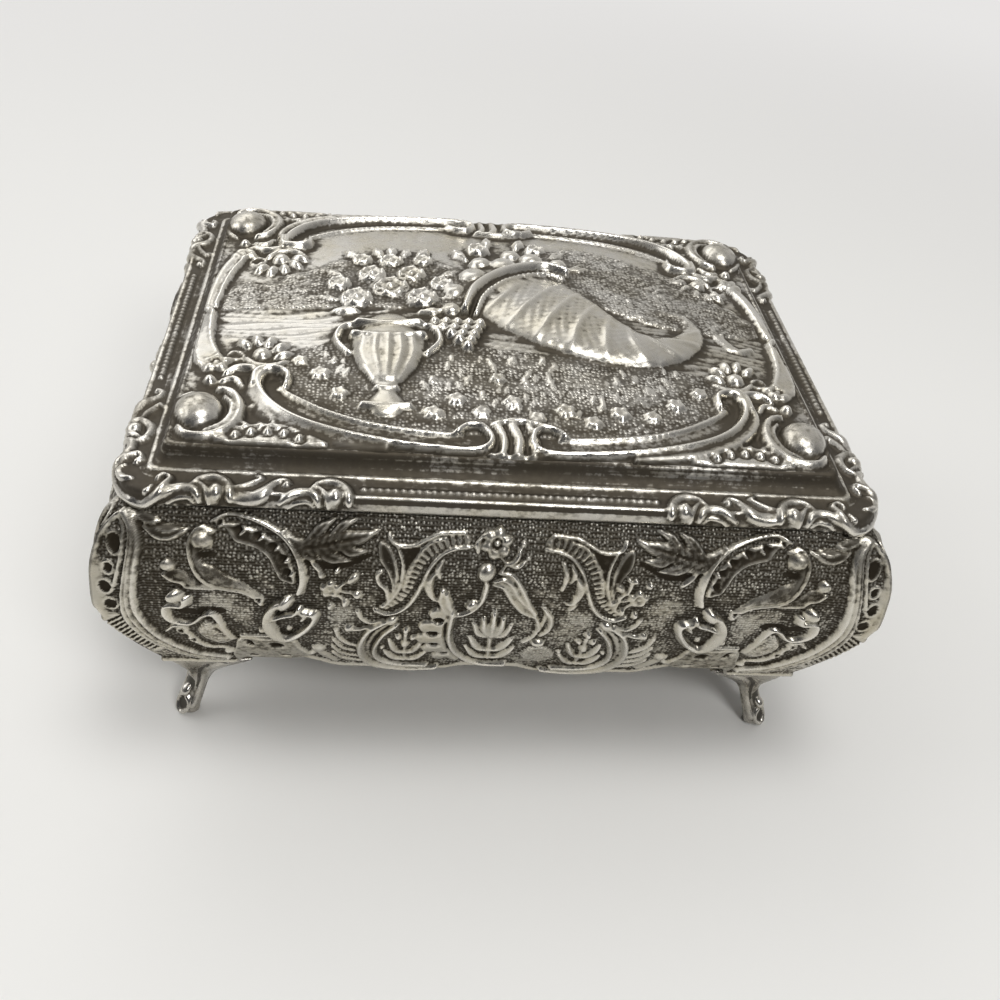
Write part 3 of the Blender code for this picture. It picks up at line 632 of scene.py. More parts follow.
def bendSheet(sheet, form, finish, body, node, cell=0.26):
    # masks from the relief, then the slab bent to its real form
    front = sheet["front"]
    order = sheet["order"]
    high = softened(sheet, sheet["high"])
    near = blurred(sheet, high, max(1, round(0.35 / cell)))
    broad = blurred(sheet, high, max(2, round(1.1 / cell)))
    wide = blurred(sheet, high, max(3, round(2.4 / cell)))
    # hollow: the drawn tone, tarnish in narrow recesses, and tarnish with painted shade in the wider halos
    # round the forms
    hollow = sheet["shade"] + np.clip((near - high) * 1.5, 0, 1)
    hollow += np.clip((broad - high) * sheet["haloTarnishAndShade"], 0, 1)
    hollow += np.clip((wide - high) * sheet["haloTarnishAndShade"] * 0.5, 0, 0.6)
    wear = np.clip((high - near) * 3.4, 0, 1) * 0.7 + np.clip((high - broad) * 0.8, 0, 1) * 0.3
    # stipple lies on the ground, up to 0.12 mm high, and on the forms that are dotted
    flat = np.maximum(np.clip(1 - (high - 0.12) / 0.10, 0, 1), sheet["dotted"]) * sheet["stippled"]
    flat *= sheet["shade"] < 0.6
    count = len(front)
    relief = np.zeros(count)
    relief[order] = high
    place = form(sheet["u"], sheet["v"], relief, front)
    mesh = sheet["mesh"]
    mesh.vertices.foreach_set("co", (place * mm).reshape(-1))
    for label, values in (("hollow", hollow), ("wear", wear), ("ground", flat)):
        field = np.zeros(count, np.float32)
        field[order] = np.clip(values, 0, 1)
        mesh.attributes.new(label, "FLOAT", "POINT").data.foreach_set("value", field)
    mesh.shade_smooth()
    mesh.materials.append(finish)
    mesh.update()
    piece = bpy.data.objects.new(sheet["name"], mesh)
    bpy.context.scene.collection.objects.link(piece)
    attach(piece, body)
    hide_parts(node)
    return piece


def turnOut(piece, weld=0.0):
    # faces outwards again after the bend, once a ring's two ends are joined
    bm = bmesh.new()
    bm.from_mesh(piece.data)
    if weld:
        bmesh.ops.remove_doubles(bm, verts=bm.verts, dist=weld)
    bmesh.ops.recalc_face_normals(bm, faces=bm.faces)
    bm.to_mesh(piece.data)
    bm.free()


# Walls

wallForm = {
    "base": 15.5, "bulgeHeight": 39.5, "bulgeOut": 3.6, "baseTuck": 4.0, "mouthTuck": 0.8, "mouthCurve": 2.4,
    "apronRise": 4.5, "thickness": 2.2, "mitre": 0.15, "dark": 0.36, "darkFrom": 37.0, "darkTo": 51.0,
    "apronShares": (0.00, 0.07, 0.15, 0.45, 0.57, 0.71, 0.79, 1.00),
    "apronRises": (0.45, 0.45, 0.0, 0.0, 1.0, 1.0, 0.0, 0.0),
    # piece, CAD node, turn and size of the sheet's cells
    "walls": (("frontWall", "front_wall", 0, 0.235), ("rightWall", "right_wall", pi / 2, 0.32),
              ("backWall", "back_wall", pi, 0.34), ("leftWall", "left_wall", -pi / 2, 0.32)),
}


def wallOffset(height):
    form = wallForm
    rise = np.clip((height - form["bulgeHeight"]) / (seamHeight - form["bulgeHeight"]), 0, 1)
    drop = np.clip((form["bulgeHeight"] - height) / (form["bulgeHeight"] - form["base"]), 0, 1)
    upper = form["bulgeOut"] - (form["bulgeOut"] + form["mouthTuck"]) * rise ** form["mouthCurve"]
    lower = form["bulgeOut"] - (form["bulgeOut"] + form["baseTuck"]) * (1 - np.cos(pi / 2 * drop))
    return np.where(height >= form["bulgeHeight"], upper, lower)


wallHeights = np.linspace(wallForm["base"], seamHeight, 400)
wallSteps = np.hypot(np.diff(wallHeights), np.diff(wallOffset(wallHeights)))
wallArcs = np.concatenate([[0], np.cumsum(wallSteps)])


def lowEdge(u):
    share = np.abs(u)
    shares, rises = wallForm["apronShares"], wallForm["apronRises"]
    made = np.full(len(share), rises[-1], float)
    for start, end, low, high in zip(shares, shares[1:], rises, rises[1:]):
        step = np.clip((share - start) / (end - start), 0, 1)
        here = (share >= start) & (share <= end)
        made[here] = (low + (high - low) * step * step * (3 - 2 * step))[here]
    return wallForm["base"] + wallForm["apronRise"] * made


def setRound(across, depth, height, turn):
    # a side's points, drawn for the front, turned to its own place
    x = across * cos(turn) - depth * sin(turn)
    y = across * sin(turn) + depth * cos(turn)
    return np.stack([x, y, height], 1)


def makeWallForm(halfLength, reach, turn):
    def form(u, v, relief, front):
        low = lowEdge(u)
        height = low + v * (seamHeight - low)
        step = 0.05
        slope = (wallOffset(height + step) - wallOffset(height - step)) / (2 * step)
        slope = np.where(height > seamHeight - 0.2, 0.0, slope)
        out = 1 / np.hypot(1, slope)
        offset = wallOffset(height) - np.where(front, 0, wallForm["thickness"]) + relief * out
        across = u * (halfLength + offset - wallForm["mitre"])
        return setRound(across, -(reach + offset), height - relief * slope * out, turn)
    return form


def wallSpot(halfLength):
    def spot(u, v):
        low = lowEdge(u)
        height = low + v * (seamHeight - low)
        return u * (halfLength + wallOffset(height)), np.interp(height, wallHeights, wallArcs)
    return spot


def wallPlace(halfLength):
    # drawings are made for the front; on a side wall the middle is drawn in and the corners keep
    # their width
    drawn, corner = 60.0, 44.0
    inner = (corner - (drawn - halfLength)) / corner

    def place(points):
        x = np.abs(points[:, 0])
        x = np.where(x < corner, x * inner, x - (drawn - halfLength)) * np.sign(points[:, 0])
        return np.stack([x, np.interp(points[:, 1], wallHeights, wallArcs)], 1)
    return place


cornerBand = {
    # drawn for the left end of the front; the other ends turn it over
    "moulding": ((-58.1, 52.2), (-56.8, 50.2), (-56.6, 47.8), (-57.3, 43.8), (-58.0, 39.4), (-58.1, 35.4),
                 (-57.2, 31.8), (-55.5, 27.9), (-53.0, 24.3), (-49.6, 20.9), (-45.2, 19.3)),
    "mouldingHalf": (0.9, 1.1, 1.15, 1.2, 1.35, 1.6, 1.6, 1.5, 1.45, 1.45, 1.3),
    "outline": ((-59.2, 51.9), (-61.0, 50.0), (-62.9, 46.4), (-63.8, 42.0), (-63.6, 37.6), (-62.4, 33.4)),
    "inline": ((-59.2, 51.9), (-58.5, 50.0), (-58.6, 47.4), (-59.4, 44.0), (-60.4, 40.4)),
    "ovals": ((-59.9, 47.9, 0.95, 1.75), (-61.0, 43.9, 0.6, 1.6), (-61.8, 40.2, 0.85, 1.45),
              (-61.4, 36.3, 0.9, 1.2)),
    "slotTops": ((-60.2, 33.4), (-58.3, 28.7), (-55.6, 23.6)),
    "slotEnds": ((-62.4, 31.6), (-60.0, 26.6), (-57.4, 21.4)),
}


def drawCorner(sheet):
    band = cornerBand
    stroke(sheet, [(-63.2, z) for z in (52.5, 46, 40, 34, 28, 22)], 2.6, 0.3, softTop)
    stroke(sheet, [(-61.6, 32.6), (-59.4, 27.8), (-56.4, 22.4)], 1.7, 0.55, flatTop, way="over")
    stroke(sheet, band["outline"], 0.38, 0.75)
    stroke(sheet, band["inline"], 0.3, 0.6)
    for x, z, radius, tall in band["ovals"]:
        pit(sheet, x, z, radius, tall, 0.12, rim=0.55)
    (topX, topZ), (endX, endZ) = (np.array(band[name]).T for name in ("slotTops", "slotEnds"))
    # slots along the band, painted dark inside as shade
    for share in np.linspace(0, 2, 12):
        x0, z0, x1, z1 = (np.interp(share, (0, 1, 2), values) for values in (topX, topZ, endX, endZ))
        stroke(sheet, [(x0, z0), (x1, z1)], 0.27, 0.02, way="over", steps=1, tone=0.8)
    stroke(sheet, band["moulding"], band["mouldingHalf"], 1.25, mouldTop, tone=mouldTone)


scrollwork = {
    # plates: outline, height, bevel, rim
    "plates": (
        (((-55.4, 50.4), (-53.8, 49.0), (-51.8, 48.7), (-49.9, 49.5), (-49.0, 50.2), (-50.6, 50.8),
          (-52.2, 50.9)), 0.5, 0.6, 0),
        (((-57.3, 52.6), (-56.0, 51.3), (-54.5, 50.8), (-53.1, 51.2), (-54.2, 52.2)), 0.4, 0.4, 0),
        # tongue, S-leaf and pierced C-scroll
        (((-52.9, 43.1), (-51.6, 41.9), (-50.0, 41.4), (-49.2, 40.5), (-45.0, 40.4), (-47.4, 41.8),
          (-48.6, 42.9), (-49.6, 43.9), (-51.2, 44.2)), 0.32, 0.4, 0),
        (((-45.0, 49.2), (-45.6, 50.2), (-46.9, 50.5), (-48.0, 49.6), (-48.6, 48.2), (-48.4, 45.7),
          (-47.2, 42.7), (-45.0, 41.0), (-41.2, 40.3), (-39.2, 39.1), (-38.0, 37.4), (-37.7, 38.4),
          (-38.9, 40.0), (-40.9, 42.0), (-43.2, 43.4), (-45.0, 44.8), (-46.4, 45.4), (-47.0, 46.3),
          (-46.6, 47.2), (-45.4, 47.5)), 0.75, 1.1, 0.2),
        (((-44.8, 51.1), (-42.7, 51.3), (-40.4, 50.9), (-37.9, 50.1), (-35.5, 48.7), (-33.9, 46.9),
          (-33.0, 44.8), (-32.7, 42.1), (-34.1, 42.3), (-35.2, 42.9), (-36.0, 44.6), (-36.9, 46.4),
          (-38.5, 47.7), (-40.4, 48.3), (-41.9, 48.7), (-42.7, 49.7), (-43.4, 50.5)), 0.32, 0.25, 0.5),
        # funnel's web and the leaf beside it
        (((-17.2, 48.9), (-13.3, 48.9), (-14.9, 46.1), (-15.8, 43.6), (-16.6, 42.0), (-16.3, 45.4)), 0.24,
         0.3, 0),
        (((-20.2, 49.4), (-20.0, 46.8), (-18.8, 44.8), (-17.9, 41.9), (-18.3, 38.6), (-17.2, 41.4),
          (-16.9, 44.4), (-17.5, 47.2), (-18.8, 49.2)), 0.3, 0.4, 0.4),
    ),
    "pod": ((-48.9, 30.6), (-47.3, 33.0), (-45.6, 32.5), (-44.0, 30.1), (-42.7, 27.2), (-44.5, 25.3),
            (-46.8, 26.3), (-48.5, 28.4)),
    "strip": ((-42.0, 28.2), (-37.5, 27.8), (-33.4, 28.2), (-32.4, 25.0), (-30.6, 21.0), (-36.0, 19.4),
              (-43.4, 18.6), (-43.2, 24.0)),
    "ridges": (
        # points, half width, height
        (((-57.5, 52.7), (-56.0, 51.4), (-54.5, 50.8), (-53.2, 51.1)), 0.28, 0.75),
        (((-55.4, 50.4), (-53.8, 49.0), (-51.8, 48.7), (-49.9, 49.6), (-49.0, 50.2)), 0.28, 0.8),
        (((-53.2, 50.1), (-51.6, 49.8), (-50.4, 50.1)), (0.2, 0.42, 0.2), 0.9),
        (((-52.9, 43.1), (-51.6, 41.9), (-50.0, 41.4), (-49.2, 40.5), (-45.0, 40.4)), 0.26, 0.75),
        (((-45.0, 50.0), (-46.9, 50.6), (-48.1, 49.6), (-48.7, 48.2), (-48.5, 45.7), (-47.3, 42.6),
          (-45.0, 40.9), (-41.1, 40.1), (-39.1, 38.9), (-38.0, 37.2)), (0.3, 0.4, 0.34, 0.3), 0.85),
        (((-45.5, 51.3), (-43.2, 52.3), (-40.9, 52.2), (-37.9, 51.4), (-35.0, 50.1), (-33.0, 48.3),
          (-31.8, 45.9), (-31.5, 42.8), (-32.1, 40.4)), (0.26, 0.34, 0.45, 0.65, 0.75, 0.6),
          (0.9, 1.0, 1.2, 1.2)),
        (((-30.8, 47.2), (-29.8, 45.6), (-28.4, 43.8)), (0.3, 0.55, 0.2), 0.85),
        # lower S-scroll, the ledge and the low leaf beside the moulding
        (((-49.4, 38.3), (-49.8, 36.9), (-51.5, 36.9), (-52.6, 36.5), (-52.8, 34.6), (-51.9, 33.0),
          (-50.1, 32.2), (-48.6, 32.6), (-47.1, 34.4), (-45.8, 34.7), (-45.0, 33.3), (-44.0, 30.1),
          (-42.9, 27.2)), (0.65, 0.6, 0.5, 0.5, 0.45, 0.3), (1.3, 1.15, 0.95, 0.75)),
        (((-41.9, 28.5), (-35.8, 28.6)), 0.3, 0.8),
        (((-45.4, 32.0), (-44.2, 29.8), (-43.2, 27.4)), 0.2, 0.95),
        (((-53.6, 29.3), (-52.2, 30.9), (-50.5, 30.5), (-50.1, 28.2), (-48.8, 25.2), (-46.9, 23.6),
          (-44.6, 23.3)), 0.3, 0.8),
        # heart
        (((-34.0, 38.5), (-35.7, 37.3), (-36.9, 35.0), (-37.0, 32.2), (-36.1, 29.6), (-34.6, 28.5),
          (-33.3, 28.9), (-31.7, 30.6), (-30.2, 33.1), (-29.6, 35.2), (-30.5, 36.0), (-31.6, 34.4)),
          (0.7, 0.95, 1.15, 1.0, 0.7, 0.6, 0.5), 1.45),
        (((-36.1, 34.2), (-34.3, 35.1), (-32.8, 35.6), (-32.1, 36.9)), 0.5, 1.25),
        # scalloped leaves falling to the big C
        (((-26.6, 30.9), (-25.9, 28.2), (-24.2, 26.2), (-22.6, 25.8)), 0.32, 0.75),
        (((-27.0, 27.6), (-25.6, 24.6), (-23.4, 23.2)), 0.28, 0.65),
        (((-27.2, 25.0), (-25.6, 22.0), (-22.8, 20.8)), 0.28, 0.65),
        (((-27.2, 22.4), (-25.4, 19.6), (-22.2, 18.4)), 0.28, 0.65),
        (((-30.4, 24.6), (-28.6, 21.4), (-26.4, 18.2)), (0.3, 0.8, 0.3), 0.65),
        # funnel
        (((-18.7, 50.6), (-18.0, 49.4), (-16.6, 49.0), (-14.5, 49.2), (-12.4, 50.2), (-10.6, 50.9),
          (-6.9, 51.1)), 0.3, 0.85),
        (((-17.3, 48.9), (-16.5, 46.9), (-16.3, 44.6), (-16.8, 41.6), (-18.1, 38.9), (-19.4, 37.5)), 0.26,
         0.75),
        (((-9.8, 50.3), (-11.9, 49.7), (-13.4, 48.5), (-14.6, 46.4), (-15.3, 44.6), (-16.0, 41.9)), 0.22,
         0.7),
        (((-5.9, 49.2), (-8.1, 48.9), (-10.2, 48.0), (-11.8, 46.2), (-12.8, 44.0), (-13.7, 41.2),
          (-14.9, 38.5), (-16.5, 36.7), (-18.5, 36.0), (-20.4, 36.9)), 0.3, 0.9),
        (((-19.6, 44.9), (-20.2, 44.1), (-19.9, 42.6), (-18.7, 41.2), (-18.3, 38.9)), 0.34, 0.75),
        (((-10.2, 47.0), (-10.9, 45.4), (-10.4, 43.8)), (0.2, 0.55, 0.2), 0.75),
        (((-11.4, 44.8), (-12.2, 42.6), (-11.4, 40.2), (-10.4, 39.4)), (0.3, 0.9, 0.7, 0.2), 0.9),
        # hooks and the big C
        (((-23.2, 36.4), (-22.4, 34.4), (-20.9, 33.4), (-19.0, 34.5)), 0.3, 0.75),
        (((-24.6, 31.6), (-22.6, 31.6), (-20.8, 32.6)), (0.7, 0.4, 0.3), 0.8),
        (((-18.4, 34.3), (-21.1, 31.4), (-22.4, 26.5), (-22.0, 21.8), (-20.2, 18.3), (-17.2, 16.7),
          (-13.0, 16.3), (-9.2, 17.0)), (0.35, 0.6, 0.7, 0.7, 0.6, 0.45), 1.3),
        (((-16.7, 33.4), (-18.9, 29.9), (-20.1, 25.2), (-19.7, 21.6), (-17.9, 19.0), (-14.8, 17.9),
          (-11.0, 17.9)), 0.42, 1.2),
        # leaves of the floret in it
        (((-15.2, 30.0), (-15.1, 25.2), (-15.0, 19.8)), 0.26, 0.8),
        (((-15.1, 23.6), (-16.6, 24.6), (-17.9, 28.2)), (0.3, 0.7, 0.2), 0.95),
        (((-15.1, 23.6), (-13.6, 24.6), (-12.3, 28.2)), (0.3, 0.7, 0.2), 0.95),
        (((-15.0, 20.4), (-16.8, 21.0), (-18.6, 24.0)), (0.3, 0.65, 0.2), 0.9),
        (((-15.0, 20.4), (-13.2, 21.0), (-11.4, 24.0)), (0.3, 0.65, 0.2), 0.9),
    ),
    "bosses": (
        # x, height, radius, relief, tall, turn
        (-46.7, 48.9, 1.7, 1.35, 0.9, 0.3), (-51.0, 38.9, 1.5, 1.6, 0.95, 0.0),
        (-44.1, 22.4, 1.1, 1.0, 0.8, 0.0),
        (-34.2, 38.0, 1.1, 1.7, 1.5, -0.4), (-31.4, 36.0, 0.85, 1.4, 1.0, 0.0),
        (-24.4, 31.8, 0.85, 0.95, 1.0, 0.0),
        (-29.3, 24.0, 1.0, 0.8, 1.3, 0.3),
        (-30.6, 22.0, 0.7, 0.8, 1.3, -0.3), (-34.1, 30.9, 0.55, 0.5, 1.6, 0.2),
        (-15.1, 31.6, 0.6, 1.05, 1.6, 0.0),
        (-16.3, 29.4, 0.5, 0.95, 1.9, 0.5), (-13.9, 29.4, 0.5, 0.95, 1.9, -0.5),
        (-18.9, 25.2, 0.4, 0.85, 1.5, 0.0),
        (-11.2, 25.2, 0.4, 0.85, 1.5, 0.0),
    ),
    # acanthus: midrib from its root, then lobes
    "acanthus": (
        (((-34.6, 50.6), (-32.6, 48.9), (-29.6, 48.5), (-26.0, 49.4), (-22.6, 50.1), (-20.2, 51.0)),
         (0.4, 1.2, 1.8, 1.8, 1.3, 0.2)),
        (((-32.0, 48.8), (-30.8, 47.4), (-28.4, 46.6)), (1.0, 1.2, 0.2)),
        (((-29.2, 48.4), (-27.4, 47.1), (-24.4, 46.4)), (1.1, 1.3, 0.2)),
        (((-26.0, 49.0), (-24.4, 48.0), (-21.8, 48.0)), (1.0, 1.1, 0.2)),
        (((-30.4, 49.4), (-28.6, 51.2), (-26.8, 52.3)), (1.0, 1.1, 0.2)),
        (((-27.0, 50.2), (-25.4, 51.6), (-23.4, 52.4)), (0.8, 0.9, 0.2)),
    ),
    "punches": ((-41.4, 50.4), (-38.6, 49.7), (-36.2, 48.3), (-34.7, 46.5), (-34.0, 44.2)),
    "ladder": ((-6.8, 50.2), (-9.2, 49.8), (-11.3, 48.8), (-12.8, 47.7), (-13.8, 46.1), (-14.7, 43.9),
               (-15.6, 41.3), (-17.0, 38.9), (-19.2, 37.0)),
    "flowerShift": 5.6,  # the right half's flower sits nearer the middle
}


def drawHalf(sheet):
    work = scrollwork
    drawCorner(sheet)
    for outline, height, bevel, rim in work["plates"]:
        plate(sheet, outline, height + 0.12, bevel, rim, tone=0.5)
    plate(sheet, work["pod"], 1.0, 1.6, dots=0.8)
    plate(sheet, work["strip"], 0.7, 0.6, 0.35, tone=0.35, steps=2)
    # painted shade in the hollows under the S-leaf's head, in the lower scroll and in the heart
    stroke(sheet, [(-47.0, 46.5), (-45.4, 46.6)], 0.5, 0.05, way="over", steps=1, tone=0.8)
    stroke(sheet, [(-51.2, 35.2), (-48.6, 34.6), (-47.2, 35.6), (-44.8, 35.2)], (0.8, 0.7, 0.5, 0.8), 0.03,
           way="over", tone=0.75)
    boss(sheet, -33.9, 31.8, 1.9, 0.0, 0.95, way="dig", tone=0.9)
    boss(sheet, -31.6, 26.0, 0.9, 0.0, 1.9, 0.2, way="dig", tone=0.8)
    stroke(sheet, work["ladder"], (0.85, 0.85, 0.85, 0.8, 0.75, 0.7, 0.6, 0.5), 0.62, ladderTop, way="over")
    # smooth band between the big C's two lines
    stroke(sheet, [(-17.6, 33.8), (-20.0, 30.6), (-21.3, 26.0), (-20.8, 21.7), (-19.0, 18.7), (-16.0, 17.3),
                   (-11.0, 17.1)], (0.7, 0.95, 1.1, 1.05, 0.9, 0.6), 0.5, softTop, tone=0.12)
    # painted shade under the acanthus
    stroke(sheet, [(-33.6, 47.6), (-30.0, 45.6), (-26.0, 45.6), (-21.4, 47.4)], (0.3, 0.7, 0.7, 0.3), 0.0,
           way="over", tone=0.6)
    for points, half in work["acanthus"]:
        stroke(sheet, points, half, 1.15, leafTop, tone=lambda q, inner, side: 0.45 * (inner > 0.35))
    for points, half, height in work["ridges"]:
        stroke(sheet, points, half, height)
    for x, z, radius, height, tall, turn in work["bosses"]:
        boss(sheet, x, z, radius, height, tall, turn)
    boss(sheet, -51.9, 44.8, 1.05, 1.0, power=0.18)
    boss(sheet, -17.6, 34.5, 0.95, 1.15, 1.15, -0.5, power=0.25)
    boss(sheet, -38.1, 30.6, 1.1, 0.95, power=1.0)
    # pierced places, painted dark inside as shade
    for x, z in work["punches"]:
        boss(sheet, x, z, 0.62, 0.0, way="dig", tone=0.9)
        stroke(sheet, [(x + 0.45, z - 0.55), (x + 1.0, z - 0.15)], 0.24, 1.0, steps=1)
    pit(sheet, -44.2, 51.2, 0.38, 1.0, rim=0.85)
    pit(sheet, -38.6, 38.4, 0.42, 1.0, rim=0.8)
    for x, z, radius, tall, turn in ((-40.6, 26.2, 0.6, 2.4, 0.3), (-36.3, 25.3, 1.15, 0.95, 0.0),
                                     (-40.2, 21.0, 0.4, 2.2, 1.5), (-34.9, 21.2, 0.4, 2.2, 1.5),
                                     (-51.3, 29.4, 0.5, 1.3, 0.3), (-49.8, 26.4, 0.4, 1.6, 0.4)):
        pit(sheet, x, z, radius, tall, turn, rim=0.85)
    boss(sheet, -15.1, 27.0, 0.8, 1.0, 1.5)
    drawFlower(sheet, work["flowerShift"] if sheet["side"] < 0 else 0.0)


def drawFlower(sheet, shift):
    # small bloom with buds
    flower(sheet, -27.4 + shift, 41.0, 1.7, 0.95)
    for x, z, radius, tall, turn in ((-24.0, 43.3, 0.8, 1.7, -0.7), (-23.2, 40.1, 0.75, 1.2, 0.5),
                                     (-25.1, 38.2, 0.5, 2.0, 0.0), (-27.4, 37.4, 0.5, 1.8, 0.1),
                                     (-28.8, 43.8, 0.5, 1.6, 0.5), (-26.4, 44.6, 0.45, 1.5, -0.2)):
        boss(sheet, x + shift, z, radius, 0.95, tall, turn)
    for points in ([(-26.4, 41.4), (-25.2, 42.4)], [(-26.2, 40.8), (-24.2, 40.4)],
                   [(-26.6, 40.2), (-25.4, 39.0)]):
        stroke(sheet, [(x + shift, z) for x, z in points], 0.26, 0.65, steps=1)


medallion = {
    "band": ((-9.7, 36.4), (-10.3, 32.6), (-10.0, 28.6), (-8.7, 24.6), (-6.2, 21.4)),
    "lobes": ((-10.4, 36.4, 1.3), (-11.7, 33.0, 1.5), (-12.0, 29.4, 1.5), (-11.0, 25.8, 1.4),
              (-9.2, 22.6, 1.3)),
    "holes": ((-10.0, 34.9, 0.8, 1.15), (-10.8, 31.2, 0.8, 1.3), (-10.3, 27.5, 0.72, 1.4),
              (-8.6, 24.1, 0.6, 1.4)),
    "ridges": (
        (((-7.9, 37.0), (-8.1, 32.4), (-7.8, 28.7), (-6.5, 24.6), (-4.2, 21.4), (-1.6, 19.8), (2.4, 19.6)),
         0.55, 1.25),
        (((-9.8, 41.6), (-10.0, 39.4), (-8.9, 37.1), (-7.1, 36.3), (-5.0, 37.3), (-3.5, 39.5), (-3.0, 42.6),
          (-3.4, 44.2)), (0.55, 0.5, 0.4, 0.34, 0.38, 0.4, 0.36), 0.95),
        (((-9.2, 41.0), (-8.8, 39.0), (-8.0, 37.2)), (0.5, 0.8, 0.3), 1.0),
        # horn-shaped leaf
        (((-1.2, 45.3), (1.0, 44.9), (2.7, 42.4), (4.1, 39.5), (5.6, 37.0)), 0.32, 0.9),
        (((-1.9, 43.7), (-0.4, 44.1), (1.1, 43.0), (2.6, 40.4), (5.1, 37.3), (6.4, 33.9), (6.0, 30.9),
          (4.4, 28.6)), 0.26, 0.95),
        (((-1.9, 43.1), (-0.2, 42.4), (1.4, 39.7), (3.3, 37.3), (5.6, 36.2)), 0.26, 0.85),
        (((6.6, 38.6), (8.2, 36.0), (8.2, 33.0), (7.0, 30.9)), (0.2, 0.5, 0.45, 0.25), 0.85),
        (((7.1, 38.0), (7.2, 35.4), (6.7, 32.6)), 0.24, 0.7),
        (((8.9, 47.2), (9.6, 45.0), (9.2, 42.3)), (0.3, 0.6, 0.2), 0.7),
        (((11.2, 40.6), (11.6, 39.4), (10.9, 38.0)), (0.2, 0.6, 0.2), 0.7),
        # floret and its stalk
        (((-1.2, 31.4), (-1.0, 27.0), (-0.7, 21.8)), 0.32, 0.85),
        (((-1.1, 31.0), (-2.3, 32.4), (-2.7, 35.6)), (0.4, 0.8, 0.25), 1.1),
        (((-1.1, 31.0), (0.1, 32.4), (0.5, 35.6)), (0.4, 0.8, 0.25), 1.1),
        (((-1.1, 31.0), (-1.1, 33.6), (-1.1, 37.0)), (0.4, 0.75, 0.25), 1.2),
        (((-1.1, 30.6), (-3.2, 31.2), (-4.2, 34.0)), (0.3, 0.6, 0.2), 0.9),
        (((-1.1, 30.6), (1.0, 31.2), (2.0, 34.0)), (0.3, 0.6, 0.2), 0.9),
        (((-1.1, 25.8), (-3.0, 26.6), (-4.6, 30.0)), (0.3, 0.75, 0.2), 1.0),
        (((-1.1, 25.8), (0.9, 26.6), (2.6, 30.0)), (0.3, 0.75, 0.2), 1.0),
        (((-0.9, 22.6), (-3.2, 23.4), (-5.0, 26.6)), (0.3, 0.75, 0.2), 0.95),
        (((-0.9, 22.6), (1.4, 23.4), (3.2, 26.6)), (0.3, 0.75, 0.2), 0.95),
        # sprig beside the rose over the ball
        (((-1.4, 48.0), (-0.3, 46.8), (-1.0, 45.4)), 0.26, 0.8),
        (((-0.3, 46.8), (1.2, 47.4), (2.0, 49.4)), (0.25, 0.6, 0.2), 0.9),
        (((-0.3, 46.8), (1.6, 46.4), (2.8, 47.4)), (0.25, 0.5, 0.2), 0.85),
        (((-4.2, 50.8), (-5.0, 49.6), (-4.7, 48.2)), (0.2, 0.5, 0.2), 0.8),
    ),
    "horn": ((-1.9, 43.1), (-1.6, 44.2), (-0.7, 45.2), (1.0, 44.8), (2.6, 42.4), (4.0, 39.5), (5.5, 36.8),
             (3.3, 37.3), (1.4, 39.7), (-0.2, 42.4)),
    "lowPlate": ((5.0, 22.6), (5.8, 26.4), (8.8, 26.8), (10.8, 23.2), (8.6, 20.8)),
    "bosses": ((-5.1, 38.8, 0.8, 1.2, 1.5, -0.8), (-3.2, 45.3, 1.5, 1.5, 1.2, -0.5),
               (2.3, 49.9, 0.45, 0.95, 1.2, 0.0), (3.2, 47.8, 0.4, 0.9, 1.0, 0.0)),
}


def drawMiddle(sheet):
    # rococo cartouche, not the same on its two sides
    work = medallion
    stroke(sheet, work["band"], (1.2, 1.5, 1.5, 1.3, 0.8), 0.85, flatTop)
    for x, z, radius in work["lobes"]:
        boss(sheet, x, z, radius, 0.9, 1.1, power=0.15)
    plate(sheet, work["horn"], 0.45, 0.8, tone=0.2)
    plate(sheet, work["lowPlate"], 0.5, 0.7, 0.3, dots=1.0)
    for points, half, height in work["ridges"]:
        stroke(sheet, points, half, height)
    for x, z, radius, height, tall, turn in work["bosses"]:
        boss(sheet, x, z, radius, height, tall, turn)
    for x, z, radius, tall in work["holes"]:
        pit(sheet, x, z, radius, tall, 1.57, rim=1.15)
    flower(sheet, -1.9, 49.8, 2.4, 1.25, 6)
    boss(sheet, 6.9, 29.0, 1.3, 1.25, 0.65, power=0.3)


def drawWall(sheet):
    for side in (1, -1):
        sheet["side"] = side
        drawHalf(sheet)
    sheet["side"] = 1
    drawMiddle(sheet)
    # border along the lower edge and a thin line under the mouth
    heights = np.interp(sheet["at"][:, 1], wallArcs, wallHeights)
    edge = np.interp(sheet["low"], wallHeights, wallArcs)
    rise = sheet["at"][:, 1] - edge
    lip = 0.55 * np.sqrt(np.clip(1 - ((rise - 0.6) / 0.6) ** 2, 0, 1))
    sheet["high"] = np.maximum(sheet["high"], lip)
    sheet["high"] *= np.clip((seamHeight - heights) / 0.9, 0, 1) * 0.9 + 0.1
    # painted shade under the lid's edge, fading down the wall to none near the foot; stipple is also fuller
    # towards the top
    upper = np.clip((heights - wallForm["darkFrom"]) / (wallForm["darkTo"] - wallForm["darkFrom"]), 0, 1)
    upper = upper * upper * (3 - 2 * upper)
    sheet["shade"] += wallForm["dark"] * upper
    sheet["stippled"] = 0.72 + 0.28 * upper


def makeWall(name, halfLength, reach, turn, cell, node):
    bulge = halfLength + wallForm["bulgeOut"]
    columns, rows = round(2 * bulge / cell), round(wallArcs[-1] / cell)
    sheet = newSheet(name, columns, rows, wallSpot(halfLength))
    sheet["place"] = wallPlace(halfLength)
    sheet["low"] = lowEdge(sheet["u"][sheet["order"]])
    drawWall(sheet)
    bendSheet(sheet, makeWallForm(halfLength, reach, turn), wallSilver, "casket_body", node, cell=cell)
    print(name)


def sideSizes(turn):
    # half length of a side, and its distance from the middle
    return (halfWidth, halfDepth) if turn in (0, pi) else (halfDepth, halfWidth)


for name, node, turn, cell in wallForm["walls"]:
    makeWall(name, *sideSizes(turn), turn, cell, node)

# Lid's domed top

